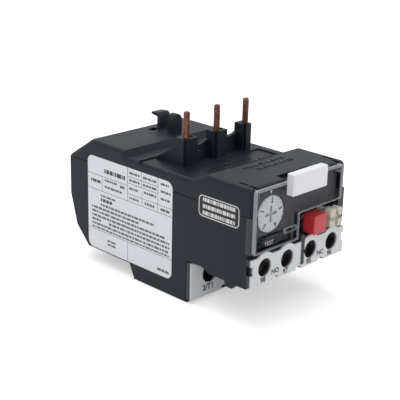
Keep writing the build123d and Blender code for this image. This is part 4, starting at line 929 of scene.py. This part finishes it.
@dataclass
class TopLettering:
    """Low raised bars across the lid's front and ramp, in place of moulded lettering.

    Depths are distances behind the case's front, and the roof is the raised front's top over the floor.
    The ramp gives the roof's drop at some depths, and each row is its low and high end across and its
    depth.
    """

    finishes: Finishes
    roof: float = 45.5
    height: float = 0.16
    stroke: float = 1.55
    word: float = 1.3
    gap: float = 0.45
    ramp: tuple = ((0.0, 0.0), (19.0, 0.0), (25.5, 3.45), (60.0, 3.45))
    rows: tuple = ((-6.0, 11.0, 12.8), (-9.0, 10.0, 16.0), (-13.0, 8.5, 19.6), (-12.5, 8.0, 22.6),
                   (-14.0, 12.0, 26.6), (-12.0, 9.0, 29.4))

    def build(self) -> None:
        """Raises the rows: each point drops by the lid's own profile at its depth."""
        corner = spot("case_lid", 0.5, 0, 0)
        top = Vector((0, corner.y, self.roof * MM))
        rows = [(low_x, high_x, depth, self.stroke) for low_x, high_x, depth in self.rows]
        bars = print_rows(np.random.default_rng(SEED + 1), rows, self.word, self.gap)
        piece = Piece("top_lettering", "case", "case_plastic", MOULDED_MARKS)
        piece.slabs(Facing.TOP, top, bars, self.height)
        depths, drops = np.array(self.ramp).T
        points = piece.points[-1]
        points[:, 2] -= np.interp((points[:, 1] - corner.y) / MM, depths, drops) * MM
        piece.make(self.finishes)


@dataclass
class CoverEdgeHighlight:
    """The clear cover's bright border, made as pale half-opaque bands on its face: a painted highlight for
    the light that runs out of its cut edges.

    The cover is L-shaped: full height at its left, and short to the right of step_across. Its tab stands
    out of its face by tab_stand.
    """

    finishes: Finishes
    width: float = 0.7
    breadth: float = 41.8
    tab_stand: float = 0.7
    step_across: float = 20.9
    short_height: float = 11.7
    inset: float = 0.05
    low_width: float = 0.3

    def build(self) -> None:
        """Lays six bands along the cover's L-shaped outline, none over another, its lower ones thin."""
        low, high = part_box("clear_cover")
        origin = Vector((low.x, low.y + self.tab_stand * MM, high.z))
        tall = (high.z - low.z) / MM - self.inset
        near, band, thin = self.inset, self.width, self.low_width
        wide, step, short = self.breadth - near, self.step_across - near, self.short_height - near
        boxes = np.array([
            (near, near + band, -tall, -near), (near + band, wide, -near - band, -near),
            (wide - band, wide, -short, -near - band), (step - thin, wide - band, -short, -short + thin),
            (step - thin, step, -tall, -short), (near + band, step - thin, -tall, -tall + thin)])
        # Painted highlight bands along the cover's edges.
        highlight_bands = Piece("cover_painted_highlight", "cover", "clear_cover", EDGE_HIGHLIGHT_PLASTIC)
        highlight_bands.slabs(Facing.FRONT, origin, boxes, FILM_RISE)
        highlight_bands.make(self.finishes)


@dataclass
class ButtonSprings:
    """Wire springs behind the stop and reset buttons.

    Each rides on its button. The springs are given as their CAD node, the body that they ride on, and its
    joint.
    """

    finishes: Finishes
    wire: float = 0.45
    turns: int = 4
    travel: float = 2.5
    round_steps: int = 28
    sides: int = 10
    springs: tuple = (("stop_spring", "stop", "stop_push"), ("reset_spring", "reset", "reset_push"))

    def _coil(self, node: str) -> Array:
        """Winds a wire through a node's box: rings of points at right angles to a helix along Y.

        Args:
            node: the CAD spring.

        Returns:
            Array of shape (steps, sides, 3), in metres.
        """
        low, high = (np.array(corner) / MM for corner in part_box(node))
        radius = (high[0] - low[0] - self.wire) / 2
        turn = np.linspace(0, 2 * np.pi * self.turns, self.round_steps * self.turns + 1)
        rise = np.linspace(low[1] + self.wire / 2, high[1] - self.wire / 2, len(turn))
        out = np.stack([np.cos(turn), np.zeros_like(turn), np.sin(turn)], 1)
        line = (low + high) / 2 * (1, 0, 1) + radius * out + rise[:, None] * (0, 1, 0)
        along = np.gradient(line, axis=0)
        along /= np.linalg.norm(along, axis=1)[:, None]
        side = np.cross(along, out)
        angle = np.arange(self.sides)[:, None] * 2 * np.pi / self.sides
        rings = np.cos(angle) * out[:, None] + np.sin(angle) * side[:, None]
        return (line[:, None] + rings * self.wire / 2) * MM

    def build(self) -> None:
        """Winds both springs and ties each to its button's body."""
        for node, body, joint in self.springs:
            piece = Piece(f"{node}_wire", body, "spring_steel", SPRING_STEEL)
            piece.grid(self._coil(node), False, True, capped=True)
            made = piece.make(self.finishes)
            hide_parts(node)
            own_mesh(made)


@dataclass(frozen=True)
class Lamp:
    """One soft square lamp: its place and side in metres, and its power in watts."""

    name: str
    place: Triple
    side: float
    power: float


@dataclass
class Studio:
    """Pale floor, soft lamps, white surroundings and the photograph's camera, in metres."""

    floor_size: float = 6.0
    floor_colour: Colour = (0.86, 0.86, 0.86)
    camera_place: Triple = (-0.2382, -0.2297, 0.1441)
    looks_along: Triple = (0.6746, 0.6576, -0.3355)
    upwards: Triple = (0.2234, 0.2512, 0.9418)
    focal_length: float = 93.08
    floor_glow: float = 0.45
    sky: float = 0.4
    sky_colour: Colour = (0.93, 0.95, 1.0)
    lamps: tuple = (Lamp("lamp_left", (-0.7, -0.5, 0.9), 0.7, 3.5),
                    Lamp("lamp_front", (0.5, -0.9, 0.5), 0.6, 2.2),
                    Lamp("lamp_top", (0.0, 0.3, 1.1), 0.9, 7.0))
    lamps_aim: Triple = (0.0, 0.0, 0.03)

    def _floor(self) -> None:
        """Lays the floor, pale to the camera and in reflections."""
        half = self.floor_size / 2
        mesh = bpy.data.meshes.new("floor")
        mesh.from_pydata([(-half, -half, 0), (half, -half, 0), (half, half, 0), (-half, half, 0)], [],
                         [(0, 1, 2, 3)])
        floor = bpy.data.objects.new("floor", mesh)
        bpy.context.scene.collection.objects.link(floor)
        shader = Shader("floor_paper")
        shader.set(Base_Color=(*self.floor_colour, 1), Roughness=0.9)
        shader.set(Specular_IOR_Level=0.1)
        rays = [shader.node("ShaderNodeLightPath", result=f"Is {kind} Ray")
                for kind in ("Camera", "Glossy", "Transmission")]
        seen = (rays[0] + rays[1] + rays[2]).clipped()
        glow = (self.floor_glow,) * 3
        shader.set(Emission_Color=shader.blend(seen, (0.0, 0.0, 0.0), glow), Emission_Strength=1.0)
        mesh.materials.append(shader.material)

    def _world(self) -> None:
        """Surrounds the scene with soft white light."""
        world = bpy.data.worlds.new("surroundings")
        world.use_nodes = True
        tree = world.node_tree
        tree.nodes.clear()
        output = tree.nodes.new("ShaderNodeOutputWorld")
        mix = tree.nodes.new("ShaderNodeMixShader")
        light = tree.nodes.new("ShaderNodeBackground")
        seen = tree.nodes.new("ShaderNodeBackground")
        rays = tree.nodes.new("ShaderNodeLightPath")
        light.inputs["Color"].default_value = (*self.sky_colour, 1)
        light.inputs["Strength"].default_value = self.sky
        seen.inputs["Color"].default_value = (1, 1, 1, 1)
        seen_by = rays.outputs["Is Camera Ray"]
        for kind in ("Is Glossy Ray", "Is Transmission Ray"):
            either = tree.nodes.new("ShaderNodeMath")
            either.operation = "MAXIMUM"
            tree.links.new(seen_by, either.inputs[0])
            tree.links.new(rays.outputs[kind], either.inputs[1])
            seen_by = either.outputs[0]
        tree.links.new(seen_by, mix.inputs[0])
        tree.links.new(light.outputs[0], mix.inputs[1])
        tree.links.new(seen.outputs[0], mix.inputs[2])
        tree.links.new(mix.outputs[0], output.inputs["Surface"])
        bpy.context.scene.world = world

    def _hang(self, lamp: Lamp) -> None:
        """Hangs one lamp that shines at the relay."""
        data = bpy.data.lights.new(lamp.name, "AREA")
        data.size = lamp.side
        data.energy = lamp.power
        made = bpy.data.objects.new(lamp.name, data)
        place = Vector(lamp.place)
        made.location = place
        made.rotation_euler = (Vector(self.lamps_aim) - place).to_track_quat("-Z", "Y").to_euler()
        bpy.context.scene.collection.objects.link(made)

    def _camera(self) -> None:
        """Sets the camera where the photograph was taken from."""
        data = bpy.data.cameras.new("photo_camera")
        data.lens = self.focal_length
        data.sensor_width = 36
        data.clip_start = 0.01
        camera = bpy.data.objects.new("photo_camera", data)
        back = -Vector(self.looks_along).normalized()
        right = Vector(self.upwards).cross(back).normalized()
        up = back.cross(right)
        turn = Matrix((right, up, back)).transposed().to_4x4()
        camera.matrix_world = Matrix.Translation(self.camera_place) @ turn
        bpy.context.scene.collection.objects.link(camera)
        bpy.context.scene.camera = camera

    def build(self) -> None:
        """Sets up the whole studio."""
        bpy.context.scene.view_settings.view_transform = "Standard"
        self._floor()
        self._world()
        for lamp in self.lamps:
            self._hang(lamp)
        self._camera()
        LOG.info("studio ready")


def main() -> None:
    """Builds the relay's looks and the studio."""
    logging.basicConfig(level=logging.INFO, format="%(message)s")
    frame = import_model()
    finishes = Finishes()
    CadFinishes(finishes).dress(frame)
    for part in (RatingLabel, SealSticker, TerminalMarks, DialMarks, TopLettering, CoverEdgeHighlight,
                 ButtonSprings):
        part(finishes).build()
    Studio().build()


if __name__ == "__main__":
    main()
